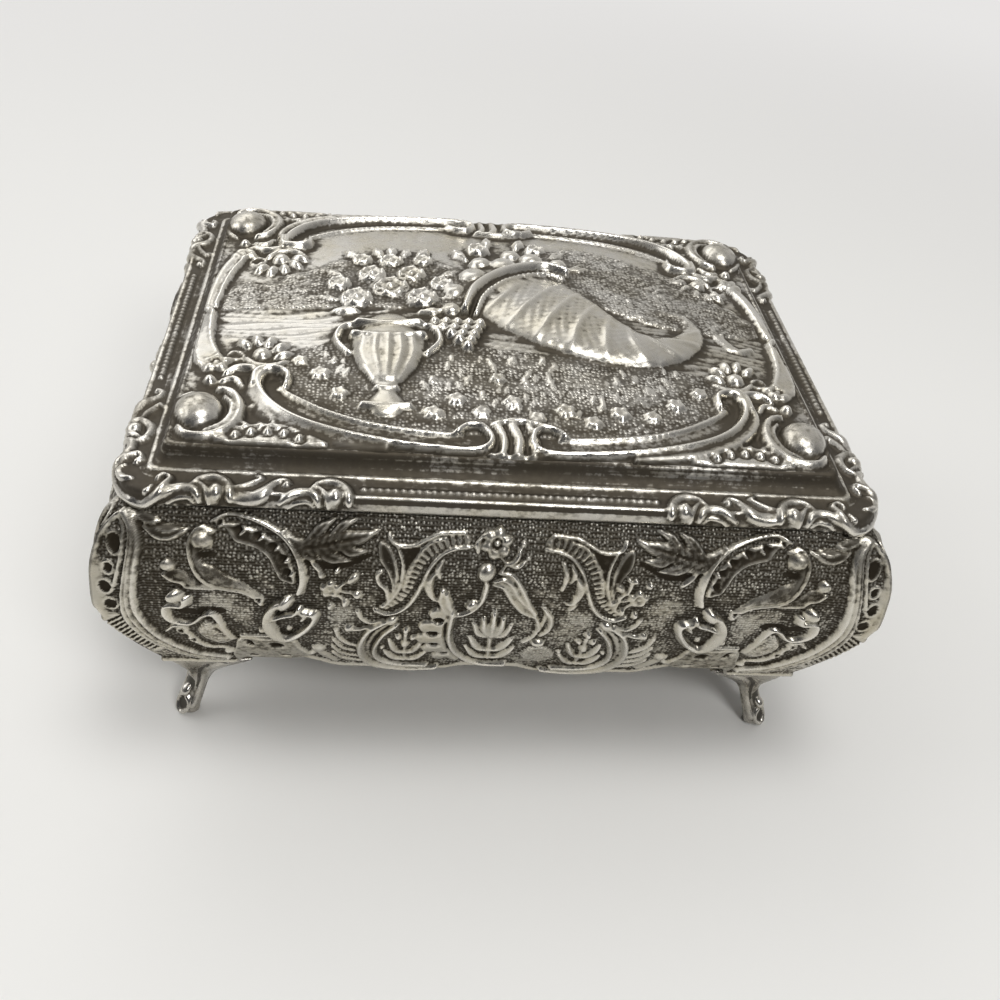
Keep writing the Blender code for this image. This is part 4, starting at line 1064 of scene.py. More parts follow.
lidForm = {
    "halfX": 53.0, "halfY": 41.0, "spanX": 53.4, "spanY": 41.4, "plateau": 59.9, "dome": 4.0, "under": 57.4,
    "cell": 0.33,
}


def domeHeight(x, y):
    across = np.minimum(np.abs(x) / lidForm["spanX"], 1)
    along = np.minimum(np.abs(y) / lidForm["spanY"], 1)
    return lidForm["plateau"] + lidForm["dome"] * (1 - across ** 2) * (1 - along ** 2)


def lidTopForm(u, v, relief, front):
    x, y = u * lidForm["halfX"], (2 * v - 1) * lidForm["halfY"]
    step = 0.05
    slopeX = (domeHeight(x + step, y) - domeHeight(x - step, y)) / (2 * step)
    slopeY = (domeHeight(x, y + step) - domeHeight(x, y - step)) / (2 * step)
    up = 1 / np.sqrt(1 + slopeX ** 2 + slopeY ** 2)
    z = np.where(front, domeHeight(x, y) + relief * up, lidForm["under"])
    return np.stack([x - relief * up * slopeX * front, y - relief * up * slopeY * front, z], 1)


lidScrolls = {
    "outer": ((-35.8, -25.2), (-36.4, -23.2), (-38.8, -22.4), (-40.4, -24.0), (-40.3, -27.4), (-38.0, -31.5),
              (-34.0, -34.9), (-28.0, -37.4), (-20.0, -39.2), (-12.0, -40.1), (-6.2, -40.2), (-3.7, -39.0),
              (-3.3, -36.9), (-4.8, -34.8), (-7.0, -34.9), (-8.8, -36.4)),
    "band": ((-41.0, -24.0), (-41.6, -28.0), (-39.2, -32.4), (-34.6, -35.9), (-28.4, -38.4), (-20.0, -40.2)),
    "rope": ((-37.2, -26.6), (-35.0, -28.6), (-30.0, -31.9), (-24.0, -34.4), (-18.0, -35.7), (-12.0, -36.4),
             (-8.0, -36.6)),
    "bossRing": ((-46.8, -27.2), (-44.6, -28.2), (-43.1, -31.0), (-42.9, -34.2), (-44.0, -37.2),
                 (-46.8, -39.4), (-50.0, -39.3), (-51.6, -37.6)),
    "bossInner": ((-45.6, -29.2), (-44.5, -31.0), (-44.1, -33.4), (-45.1, -36.6), (-47.8, -38.3)),
}


def drawLidCorner(sheet):
    work = lidScrolls
    # boss in its double ring
    boss(sheet, -49.2, -33.2, 4.0, 3.0, 1.15, 0.15)
    stroke(sheet, [(-50.6, -27.6), (-52.6, -29.8), (-53.2, -33.2), (-52.6, -36.4)], (0.3, 0.6, 0.6, 0.3), 1.1)
    stroke(sheet, work["bossRing"], (0.5, 0.85, 1.05, 1.1, 1.0, 0.85, 0.6), 1.6)
    stroke(sheet, work["bossInner"], (0.3, 0.45, 0.45, 0.3), 1.75)
    boss(sheet, -51.0, -38.4, 0.9, 1.3)
    boss(sheet, -48.6, -24.4, 1.15, 1.5)
    # flower and leaves beside the frame's end
    flower(sheet, -48.2, -19.4, 2.5, 1.6)
    pit(sheet, -45.4, -17.0, 1.0, 1.2, 0.5, rim=1.2)
    stroke(sheet, [(-46.4, -22.6), (-44.4, -21.2), (-42.0, -21.4), (-40.4, -23.2)], (0.4, 0.8, 0.8, 0.4), 1.4)
    stroke(sheet, [(-46.8, -24.6), (-44.6, -24.0), (-43.2, -26.2)], (0.4, 0.6, 0.4), 1.1)
    for x, y, turn in ((-44.2, -13.6, 0.7), (-42.2, -12.6, 0.3), (-40.0, -13.4, -0.2), (-38.2, -15.2, -0.7),
                       (-37.4, -17.6, -1.1)):
        boss(sheet, x, y, 0.95, 1.25, 2.0, turn)
    boss(sheet, -41.0, -17.2, 1.7, 1.5, 1.1)
    stroke(sheet, [(-43.6, -18.2), (-41.4, -20.4), (-38.6, -20.6), (-36.6, -19.2)], (0.4, 0.7, 0.6, 0.3), 1.2)
    # pod of berries, with painted shade round each berry, and loops along the edge
    plate(sheet, [(-45.4, -40.7), (-44.0, -37.8), (-40.8, -36.2), (-36.2, -36.2), (-32.2, -38.0),
                  (-29.0, -40.7)], 1.0, 0.7, 0.7)
    for x, y in ((-42.8, -38.9), (-40.5, -38.1), (-38.0, -37.9), (-35.5, -38.2), (-33.1, -39.2)):
        boss(sheet, x, y, 1.15, 0.5, 1.2, way="dig", tone=0.8)
        boss(sheet, x, y, 0.85, 1.6, 1.25, -0.35)
    stroke(sheet, [(-39.6, -32.2), (-38.4, -33.4), (-37.4, -35.4), (-38.2, -36.6), (-39.6, -35.6)], 0.45, 1.0)
    boss(sheet, -41.6, -36.2, 0.8, 1.0, 1.5, 0.6)
    boss(sheet, -41.2, -31.8, 0.7, 0.9, 1.6, -0.3)
    # oval frame: outer scroll, rope and the hollow between them; painted shade on the band's falling side
    stroke(sheet, [(-39.0, -25.0), (-38.4, -29.0), (-33.6, -33.4), (-27.0, -36.2), (-19.0, -37.9),
                   (-11.0, -38.6), (-4.6, -38.2)], (0.6, 1.1, 1.4, 1.5, 1.5, 1.4, 1.0), 0.02, way="dig")
    stroke(sheet, work["band"], (0.9, 1.5, 1.9, 1.9, 1.6, 1.0), 1.6, fallTop, tone=fallTone)
    stroke(sheet, work["outer"], (0.5, 0.7, 0.9, 0.8, 0.65, 0.6, 0.6, 0.6, 0.5), 1.85)
    stroke(sheet, work["rope"], 0.45, 1.1, ropeTop)
    stroke(sheet, [(-36.2, -26.4), (-36.2, -23.4), (-38.9, -22.1), (-41.2, -23.2), (-41.5, -26.6)],
           (0.7, 1.1, 1.35, 1.3, 1.0), 2.1, softTop)
    if sheet["end"] > 0:
        # a leaf up each side of the front, a plain band up each side of the back
        plate(sheet, [(-52.4, -1.6), (-52.7, -8.0), (-52.7, -14.6), (-51.6, -19.4), (-48.4, -18.8),
                      (-48.2, -16.8), (-50.0, -12.0), (-51.0, -6.0)], 1.0, 1.0, 0.3)
        stroke(sheet, [(-48.0, -17.5), (-50.0, -12.2), (-50.9, -5.8), (-51.2, -2.2), (-52.4, -1.0)],
               (0.4, 0.5, 0.5, 0.7, 0.5), 1.4)
        stroke(sheet, [(-50.2, -20.4), (-52.0, -16.6), (-52.4, -10.0)], (0.3, 0.4, 0.3), 1.2)
    else:
        stroke(sheet, [(-52.0, 0.5), (-51.6, -8.0), (-50.4, -15.6), (-48.2, -20.6), (-45.0, -24.0)],
               (1.0, 1.2, 1.3, 1.2, 0.7), 1.2, fallTop)
        stroke(sheet, [(-50.9, 0.0), (-50.2, -8.6), (-48.8, -15.4), (-46.4, -20.4)], (0.4, 0.45, 0.45, 0.3),
               1.45)


def drawClasp(sheet):
    # tie between the two halves of the frame
    for x, half in ((-1.2, 0.75), (1.2, 1.0), (3.8, 0.75)):
        stroke(sheet, [(x - 0.9, -34.2), (x, -37.4), (x - 0.4, -40.8)], half, 1.3)
    stroke(sheet, [(-3.0, -34.0), (1.2, -33.2), (5.6, -34.0)], (0.4, 0.8, 0.4), 1.4)
    stroke(sheet, [(-3.6, -40.6), (1.2, -41.0), (6.2, -40.6)], 0.5, 1.0)


scenery = {
    # generic still life: hills, meadow, urn with a bouquet, horn of plenty, roses
    "treesLeft": ((-50.5, -1.0), (-50.5, 5.0), (-46.5, 8.2), (-42.0, 7.0), (-38.5, 11.0), (-34.0, 13.0),
                  (-30.0, 17.2), (-24.0, 16.0), (-16.0, 19.0), (-8.0, 15.0), (-4.0, 8.0), (-10.0, -1.0)),
    "treesRight": ((6.0, 12.0), (10.0, 24.0), (16.0, 29.0), (24.0, 27.0), (30.0, 22.5), (36.0, 20.0),
                   (41.5, 14.5), (45.0, 9.0), (50.4, 5.0), (50.4, 0.0), (30.0, -2.0)),
    "ground": ((-36.0, -15.5), (-20.0, -13.0), (0.0, -14.0), (20.0, -16.0), (38.0, -17.0), (38.0, -26.0),
               (30.0, -31.2), (20.0, -34.6), (8.0, -36.0), (-8.0, -36.2), (-20.0, -35.0), (-30.0, -31.6),
               (-37.0, -26.4)),
}


def within(sheet, outline):
    return insideOf(smoothLine(outline, 5, True)[:-1], sheet["at"])


def drawScenery(sheet):
    at, high = sheet["at"], sheet["high"]
    trees = within(sheet, scenery["treesLeft"]) | within(sheet, scenery["treesRight"])
    ground = within(sheet, scenery["ground"])
    oval = (at[:, 0] / 50.0) ** 2 + (at[:, 1] / 36.5) ** 2 < 1
    high[trees & oval] = np.maximum(high[trees & oval], 0.45)
    meadow = oval & ~trees & ~ground & (at[:, 1] < 1.5)
    wave = at[:, 1] + 0.9 * np.sin(at[:, 0] / 7.5) + 0.5 * np.sin(at[:, 0] / 2.9 + at[:, 1])
    high[meadow] += (0.16 * np.sin(2 * pi * wave / 1.7) ** 3)[meadow]
    sheet["stippled"] = np.where(trees & oval, 1.0, np.where(ground, 0.85, 0.0)) * np.ones(len(high))
    sheet["grounds"] = trees & oval, ground & oval, meadow
    # leafy tops of the trees
    for x, y in ((-47, 6), (-42, 6), (-37, 10), (-33, 12), (-29, 15), (-25, 14), (12, 24), (17, 27), (22, 26),
                 (27, 23), (32, 20.5), (37, 17.5), (41, 13), (45, 8), (48, 4.5)):
        boss(sheet, x, y, 2.4, 0.75, 0.8)
    for _ in range(230):
        x, y = rng.uniform(-49, 49), rng.uniform(-1, 28)
        spot = np.argmin(np.abs(at[:, 0] - x) + np.abs(at[:, 1] - y))
        if trees[spot] and oval[spot]:
            boss(sheet, x, y, rng.uniform(0.5, 1.0), rng.uniform(0.6, 0.95), 1.3, rng.uniform(-1, 1))


def drawUrn(sheet):
    # standing urn
    stroke(sheet, [(-20.0, -30.0), (-20.0, -28.6), (-20.0, -27.0), (-20.0, -25.2)], (3.4, 2.4, 1.4, 1.6), 1.2)
    stroke(sheet, [(-23.8, -30.6), (-20.0, -31.0), (-16.2, -30.6)], 0.8, 1.3)
    stroke(sheet, [(-21.9, -26.6), (-20.0, -26.9), (-18.1, -26.6)], 0.45, 1.7)
    stroke(sheet, [(-20.0, -25.6), (-20.0, -22.0), (-20.0, -17.0), (-20.0, -12.0), (-20.0, -9.0)],
           (2.2, 4.9, 6.4, 6.6, 4.6), (1.2, 1.9, 2.2, 2.1, 1.6))
    for shift in (-4.4, -2.2, 0.0, 2.2, 4.4):
        stroke(sheet, [(-20 + 0.5 * shift, -24.6), (-20 + shift, -18.6), (-20 + 0.95 * shift, -13.4)], 0.55,
               0.32, way="add")
    stroke(sheet, [(-25.4, -8.6), (-20.0, -9.4), (-14.6, -8.6)], 0.9, 2.2)
    stroke(sheet, [(-26.4, -12.4), (-20.0, -13.6), (-13.6, -12.4)], 0.5, 2.6)
    for side in (-1, 1):
        stroke(sheet, [(-20 + side * 5.0, -8.4), (-20 + side * 8.0, -9.6), (-20 + side * 8.8, -13.4),
                       (-20 + side * 6.6, -17.2)], (0.5, 0.7, 0.6, 0.5), 1.6)
    # bouquet
    for x, y, size in ((-20, 4.5, 3.6), (-26, 0.5, 3.0), (-14.2, 0.8, 3.0), (-23.5, 9.6, 2.7),
                       (-16.2, 9.8, 2.8), (-29.4, 5.8, 2.2), (-10.6, 6.0, 2.3), (-20.0, 15.2, 2.4),
                       (-25.4, 15.4, 1.9), (-14.0, 15.6, 1.9)):
        rose(sheet, x, y, size, 1.25, 1.0)
    for x, y, turn in ((-31.0, 0.6, 1.1), (-30.6, 10.6, 0.9), (-27.6, 19.4, 0.6), (-20.0, 21.4, 0.0),
                       (-22.6, 20.4, 0.3), (-14.0, 20.6, -0.5), (-9.0, 11.0, -0.9), (-8.8, 1.6, -1.2),
                       (-17.2, 20.2, -0.2), (-27.8, -3.4, 1.5), (-12.4, -3.6, -1.5)):
        leaf(sheet, x, y, turn, 1.3)


def leaf(sheet, x, y, turn, size):
    across, upward = -sin(turn), cos(turn)
    line = [(x + step * across, y + step * upward) for step in (-2.4, 0, 2 * size)]
    stroke(sheet, line, (0.4, size, 0.2), size, leafTop)


def rose(sheet, x, y, size, base, height):
    # rolled petals in two rounds on a low cushion
    boss(sheet, x, y, size * 1.05, base, power=0.3)
    arc = (-1.5, -0.8, 0, 0.8, 1.5)
    for ring, count in ((0.72, 6), (0.42, 4)):
        for index in range(count):
            angle = 2 * pi * index / count + ring * 4
            cx, cy = x + ring * size * 0.8 * cos(angle), y + ring * size * 0.8 * sin(angle)
            reach = 0.42 * size
            petal = [(cx + reach * cos(angle + turn), cy + reach * sin(angle + turn)) for turn in arc]
            stroke(sheet, petal, (0.2, 0.42, 0.2), height * (0.5 + 0.3 * (1 - ring)), way="add", steps=3)
    boss(sheet, x, y, 0.24 * size, height * 0.7, way="add")


def drawHorn(sheet):
    # horn of plenty: broad flutes from the mouth to a curled tail
    spine = [(3.0, 5.0), (9.0, -1.5), (16.0, -7.5), (24.0, -11.0), (31.0, -9.5), (35.6, -4.2), (35.0, 1.6),
             (31.2, 3.4)]
    halves = (11.5, 11.0, 9.6, 7.4, 4.9, 3.0, 1.8, 1.0)

    def fluted(q, inner, side, along):
        # cords wound round the horn, with wicker between them
        turns = along / 5.2 + 0.5 * q * side
        cords = np.exp(-((turns - np.round(turns)) / 0.12) ** 2)
        weave = np.cos(2 * pi * along / 1.7) * np.cos(2 * pi * 4 * q * side)
        return np.sqrt(np.clip(1 - q * q, 0, 1)) * (0.80 + 0.17 * cords + 0.05 * weave * (1 - cords))
    stroke(sheet, spine, halves, (2.2, 2.6, 2.7, 2.5, 2.2, 1.8, 1.4, 1.0), fluted, steps=10)
    # rolled lip at the mouth
    stroke(sheet, [(-6.6, -3.6), (-4.4, 3.6), (1.2, 10.6), (8.4, 14.6), (13.6, 13.4)],
           (0.7, 1.3, 1.5, 1.3, 0.7), 3.0)
    stroke(sheet, [(-4.6, -4.2), (-2.4, 2.2), (2.8, 8.4), (9.4, 12.0), (13.0, 11.4)], (0.4, 0.7, 0.7, 0.4),
           2.9, ropeTop)
    # fruit and flowers that spill out
    for x, y, size, height in ((-4.4, 9.4, 3.3, 2.4), (1.6, 15.4, 3.1, 2.3), (-8.2, 3.6, 2.6, 2.0),
                               (7.4, 19.6, 2.6, 2.0), (-2.8, 16.2, 2.4, 1.9), (-9.0, -2.8, 2.1, 1.7),
                               (12.6, 18.8, 2.0, 1.7), (3.4, 21.4, 2.2, 1.7)):
        boss(sheet, x, y, size, height)
        boss(sheet, x - 0.4, y + 0.3, size * 0.3, -0.25, way="add")
    for row, count in enumerate((5, 4, 3, 2, 1)):
        for index in range(count):
            boss(sheet, -8.0 + 2.0 * (index - (count - 1) / 2) + 0.4 * row, -7.6 - 1.75 * row, 1.15, 2.0)
    for x, y, size in ((-3.0, 23.4, 2.3), (8.6, 25.0, 2.0)):
        rose(sheet, x, y, size, 1.2, 0.9)
    for x, y, turn in ((-6.8, 20.6, 0.6), (-1.0, 28.0, 0.0), (12.8, 23.4, -0.7), (5.6, 28.6, -0.3),
                       (16.2, 17.2, -1.3)):
        leaf(sheet, x, y, turn, 1.4)
    # ribbon
    stroke(sheet, [(36.6, 3.6), (41.4, 6.6), (44.6, 3.0), (41.0, -1.6), (43.6, -6.4), (47.0, -5.2)],
           (0.6, 1.1, 1.0, 1.1, 0.9, 0.4), 1.1, hollowTop)
    stroke(sheet, [(31.6, 5.4), (30.0, 10.6), (33.6, 14.2), (38.4, 12.6)], (0.6, 1.0, 1.0, 0.4), 1.1,
           hollowTop)


def drawRoses(sheet):
    # small blooms and tufts along the foreground
    for x, y, size in ((-31.0, -22.4, 1.7), (-27.6, -27.6, 1.6), (-12.4, -31.6, 1.5), (-8.6, -28.2, 1.5),
                       (-4.6, -31.2, 1.4), (0.6, -28.4, 1.6), (4.6, -31.8, 1.4), (9.4, -29.8, 1.7),
                       (13.8, -32.2, 1.5), (18.6, -29.6, 1.7), (24.0, -29.8, 1.4), (28.6, -26.2, 1.6),
                       (33.4, -22.4, 1.5), (-34.6, -18.8, 1.3), (-1.6, -22.6, 1.4)):
        flower(sheet, x, y, size, 1.3, 5, x)
    for _ in range(150):
        x, y = rng.uniform(-36, 36), rng.uniform(-34, -17)
        if (x / 37) ** 2 + (y / 34.5) ** 2 < 1:
            lean = rng.uniform(-0.6, 0.6)
            stroke(sheet, [(x, y), (x + lean, y + 1.5)], 0.3, rng.uniform(0.3, 0.7), steps=1)


def drawLid(sheet):
    drawScenery(sheet)
    drawRoses(sheet)
    drawUrn(sheet)
    drawHorn(sheet)
    for side in (1, -1):
        for end in (1, -1):
            sheet["side"], sheet["end"] = side, end
            drawLidCorner(sheet)
    sheet["side"] = 1
    for end in (1, -1):
        sheet["end"] = end
        drawClasp(sheet)
    sheet["end"] = 1
    trees, ground, meadow = sheet["grounds"]
    low = sheet["high"] < 1.1
    sheet["dotted"][trees & low] = 0.75
    sheet["shade"] += 0.16 * (trees & low) + 0.10 * (ground & low) + 0.06 * (meadow & low)
    # painted shade outside the oval frame, deeper near the middle of the front and back
    x, y = np.abs(sheet["at"].T)
    outside = np.clip(((x / 51.5) ** 2.4 + (y / 39.0) ** 2.4 - 1) * 4, 0, 1)
    sheet["shade"] += outside * (0.30 + 0.30 * np.clip((34 - x) / 10, 0, 1) * (y > 30))
    # painted shade along the lid top's outer edge
    edge = np.maximum(np.clip((x - 51.9) / 0.8, 0, 1), np.clip((y - 39.9) / 0.8, 0, 1))
    sheet["shade"] += 0.18 * edge


def lidSpot(u, v):
    return u * lidForm["halfX"], (2 * v - 1) * lidForm["halfY"]


def makeLidTop():
    cell = lidForm["cell"]
    sheet = newSheet("lidTop", round(2 * lidForm["halfX"] / cell), round(2 * lidForm["halfY"] / cell),
                     lidSpot)
    sheet["haloTarnishAndShade"] = 1.6
    drawLid(sheet)
    bendSheet(sheet, lidTopForm, lidSilver, "lid", "lid", cell=cell)
    print("lid top")


makeLidTop()

# Lid's rim: a closed ring swept round the lid

rimForm = {
    "corner": 6.0, "least": 1.5, "columns": 1480, "visible": 12.6, "visibleRows": 50, "hiddenRows": 8,
    # inset from the lid's edge, height above the lid's base
    "profile": ((1.2, 0.0), (0.5, 0.15), (0.1, 0.6), (0.0, 1.2), (0.0, 2.0), (0.25, 2.6), (0.8, 2.95),
                (1.6, 3.05), (2.8, 3.1), (3.7, 3.3), (4.8, 3.65), (5.7, 4.35), (6.3, 5.3), (6.6, 6.4),
                (6.9, 6.85), (7.5, 6.9), (8.2, 6.5), (8.4, 5.6), (6.6, 3.2), (5.5, 2.4), (5.5, 0.0),
                (3.4, 0.0), (1.2, 0.0)),
}


def rimRound():
    return 4 * (halfWidth + halfDepth - 2 * rimForm["corner"] + pi / 2 * rimForm["corner"])


def roundRect(share, inset):
    # a point of the ring at a share of the way round; share 0 is the middle of the front
    corner = rimForm["corner"]
    arc = pi / 2 * corner
    quarter = rimRound() / 4
    # each quarter runs from the middle of a side, round a corner, to the middle of the next
    way = (share % 1) * 4
    turns = np.minimum(np.floor(way + 1e-12), 3)
    run = (way - turns) * quarter
    here, ahead = (np.where(turns % 2 == odd, halfWidth, halfDepth) for odd in (0, 1))
    radius = np.maximum(corner - inset, rimForm["least"])
    first, last = here - corner, ahead - corner
    angle = np.clip((run - first) / arc, 0, 1) * pi / 2 - pi / 2
    start, end = np.clip(run / first, 0, 1), np.clip((quarter - run) / last, 0, 1)
    x = start * (here - inset - radius) + radius * np.cos(angle)
    y = -end * (ahead - inset - radius) + radius * np.sin(angle)
    turned = turns * pi / 2
    return x * np.cos(turned) - y * np.sin(turned), x * np.sin(turned) + y * np.cos(turned)


rimScrolls = {
    # gap from the lid's corner, rise over the rim
    "corner": ((-1.6, 1.4), (0.6, 1.0), (3.0, 1.2), (5.0, 2.7), (6.4, 4.5), (7.0, 6.0), (5.9, 6.7),
               (5.1, 5.8)),
    "cornerLeaf": ((0.0, 4.6), (1.7, 3.6), (3.6, 3.4), (4.6, 4.5)),
    "leaf": ((-7.9, 2.3), (-6.4, 3.6), (-4.8, 4.4), (-3.3, 4.4), (-2.2, 3.6), (-1.8, 2.3)),
    "leafUnder": ((-6.6, 1.5), (-5.2, 2.6), (-3.4, 2.9), (-2.6, 1.8)),
    "hood": ((-2.9, 5.0), (-2.0, 6.2), (-0.2, 6.7), (1.4, 6.1), (2.5, 4.6), (2.7, 2.9)),
    "hoodUnder": ((-1.9, 5.2), (-1.0, 4.2), (-0.5, 3.0), (-0.4, 2.0)),
    "ball": (0.6, 3.9),
    "sLeaf": ((16.3, 2.9), (18.4, 2.7), (20.3, 3.3), (21.6, 4.9), (22.6, 6.2), (23.9, 6.7), (24.7, 6.0)),
    "upperLeaf": ((16.4, 4.6), (17.9, 5.0), (19.4, 6.0), (20.4, 6.9), (19.7, 7.3)),
    "hoods": (13.3, 31.0),
}


def drawRimQuarter(sheet, half, room):
    # from a corner towards the middle of a side; x counts from the middle, half is the corner's x
    work = rimScrolls

    def at(points, shift=0.0):
        return [(-(half - gap - shift), rise) for gap, rise in points]
    # painted shade behind the corner scroll
    stroke(sheet, at([(-2.0, 3.4), (2.0, 3.0), (4.4, 4.4)]), (1.4, 1.7, 1.0), 0.08, way="over", tone=0.55)
    stroke(sheet, at(work["corner"]), (0.8, 0.85, 0.85, 0.8, 0.75, 0.65, 0.5, 0.4), 1.15)
    stroke(sheet, at(work["cornerLeaf"]), (0.4, 0.75, 0.7, 0.35), 0.85, softTop)
    for middle in work["hoods"]:
        if middle + 3 > room:
            continue
        # painted shade behind the leaf and hood
        stroke(sheet, at([(-6.0, 2.6), (-3.0, 3.2), (-1.0, 4.4), (0.0, 5.2)], middle), (0.5, 0.9, 1.2, 0.8),
               0.1, way="over", tone=0.5)
        stroke(sheet, at(work["leaf"], middle), (0.3, 0.6, 0.8, 0.8, 0.7, 0.5), 0.8)
        stroke(sheet, at(work["leafUnder"], middle), (0.3, 0.4, 0.4, 0.3), 0.5)
        stroke(sheet, at(work["hoodUnder"], middle), (0.4, 0.45, 0.45, 0.4), 0.95)
        stroke(sheet, at(work["hood"], middle), (0.4, 0.7, 0.9, 0.95, 0.85, 0.7), 1.0)
        (x, rise), = at([work["ball"]], middle)
        boss(sheet, x, rise, 1.2, 1.3, 1.1)
        stroke(sheet, at([(0.4, 3.4), (0.5, 2.2)], middle), (0.8, 0.5), 0.6, steps=1)
    if room > 25:
        stroke(sheet, at(work["sLeaf"]), (0.4, 0.9, 1.1, 1.0, 0.8, 0.6, 0.4), 0.85)
        stroke(sheet, at([(16.8, 3.2), (19.0, 3.4), (20.6, 4.6)]), (0.4, 0.6, 0.3), 0.6)
        stroke(sheet, at(work["upperLeaf"]), (0.35, 0.6, 0.7, 0.6, 0.35), 0.8)
        boss(sheet, *at([(24.2, 5.7)])[0], 0.6, 1.1)
    # scallops under the edge
    for gap in (2.4, 4.6, 6.8, 9.0):
        stroke(sheet, at([(gap - 1.0, 1.2), (gap - 0.6, 0.5), (gap + 0.4, 0.5), (gap + 0.9, 1.2)]), 0.22,
               0.35)


def drawRim(sheet):
    total = rimRound()
    cornerX = halfWidth - rimForm["corner"] + pi / 4 * rimForm["corner"]
    cornerY = halfDepth - rimForm["corner"] + pi / 4 * rimForm["corner"]
    sides = ((0.0, cornerX, 36.5, 23.4), (total / 4, cornerY, 28.5, 18.6), (total / 2, cornerX, 36.5, 23.4),
             (-total / 4, cornerY, 28.5, 18.6), (-total / 2, cornerX, 36.5, 23.4))
    stroke(sheet, [(-total / 2, 3.3), (total / 2, 3.3)], 0.3, 0.03, way="over", steps=1, tone=0.7)
    stroke(sheet, [(-total / 2, 3.9), (total / 2, 3.9)], 0.3, 0.45, steps=1)
    # bead channel, painted dark as shade
    stroke(sheet, [(-total / 2, 5.4), (total / 2, 5.4)], 0.95, 0.02, way="over", steps=1, tone=0.45)
    stroke(sheet, [(-total / 2, 7.9), (total / 2, 7.9)], 0.28, 0.3, steps=1)
    for middle, half, room, beads in sides:
        sheet["place"] = lambda points: points + (middle, 0)
        # beads, lightly darkened as painted shade
        stroke(sheet, [(-beads, 5.4), (beads, 5.4)], 0.58, 0.7, beadTop, steps=1, tone=0.2)
        for side in (1, -1):
            sheet["side"] = side
            drawRimQuarter(sheet, half, room)
    sheet["side"] = 1
    # painted shade in the cove, where it mirrors a dark room, in long brushed streaks; the rest of the rim
    # darker in bands, with painted shade along the bead channel
    along, rise = sheet["at"].T
    streaks = 0.14 * np.sin(rise * 9.0 + 0.8 * np.sin(along / 7.0))
    streaks += 0.1 * np.sin(rise * 21.0 + along / 11.0)
    streaks += 0.16 * np.sin(along / 9.0 + 1.3 * np.sin(along / 23.0)) * np.clip((rise - 9.0) / 1.5, 0, 1)
    cove = np.clip((rise - 8.2) / 0.4, 0, 1) * np.clip((13.6 - rise) / 1.6, 0, 1)
    sheet["shade"] += cove * (0.50 + streaks) + 0.3 * np.clip((rise - 6.4) / 0.4, 0, 1) * (rise < 7.6)
    sheet["shade"] += 0.10 + 0.17 * np.clip((rise - 3.0) / 0.5, 0, 1) + 0.22 * ((rise > 4.5) & (rise < 6.3))


def makeRim():
    profile = smoothLine(rimForm["profile"], 4)
    lengths = np.concatenate([[0], np.cumsum(np.hypot(*np.diff(profile, axis=0).T))])
    columns = rimForm["columns"]
    rows = rimForm["visibleRows"] + rimForm["hiddenRows"]
    levels = np.concatenate([np.linspace(0, rimForm["visible"], rimForm["visibleRows"] + 1),
                             np.linspace(rimForm["visible"], lengths[-1], rimForm["hiddenRows"] + 1)[1:]])
    total = rimRound()

    def alongAt(v):
        return np.interp(v * rows, np.arange(rows + 1), levels)

    sheet = newSheet("lidRim", columns, rows, lambda u, v: (u / 2 * total, alongAt(v)), backed=False)
    sheet["haloTarnishAndShade"], sheet["stippled"] = 1.6, 0.0
    drawRim(sheet)

    def form(u, v, relief, front):
        along = alongAt(v)
        step = 0.08
        (inset, rise), low, high = ([np.interp(along + shift, lengths, side) for side in profile.T]
                                    for shift in (0, -step, step))
        runIn, runUp = high[0] - low[0], high[1] - low[1]
        size = np.maximum(np.hypot(runIn, runUp), 1e-9)
        x, y = roundRect(u / 2, inset - relief * runUp / size)
        return np.stack([x, y, lidBase + rise + relief * runIn / size], 1)

    turnOut(bendSheet(sheet, form, lidSilver, "lid", "lid", cell=0.28), weld=1e-6)
    print("lid rim")


makeRim()

# Feet

footForm = {
    # height, reach of each wing, inset from the lid's edge, thickness
    "stations": ((0.0, 3.4, 4.6, 2.8), (0.8, 3.9, 4.2, 3.0), (2.4, 4.0, 4.5, 2.8), (4.6, 3.8, 5.4, 2.5),
                 (7.0, 3.9, 6.1, 2.3), (9.6, 5.6, 5.9, 2.2), (12.0, 9.0, 4.9, 2.0), (14.0, 12.8, 4.0, 2.0),
                 (15.4, 15.0, 3.5, 2.0)),
    "edge": 1.6, "columns": 96, "rows": 110,
}


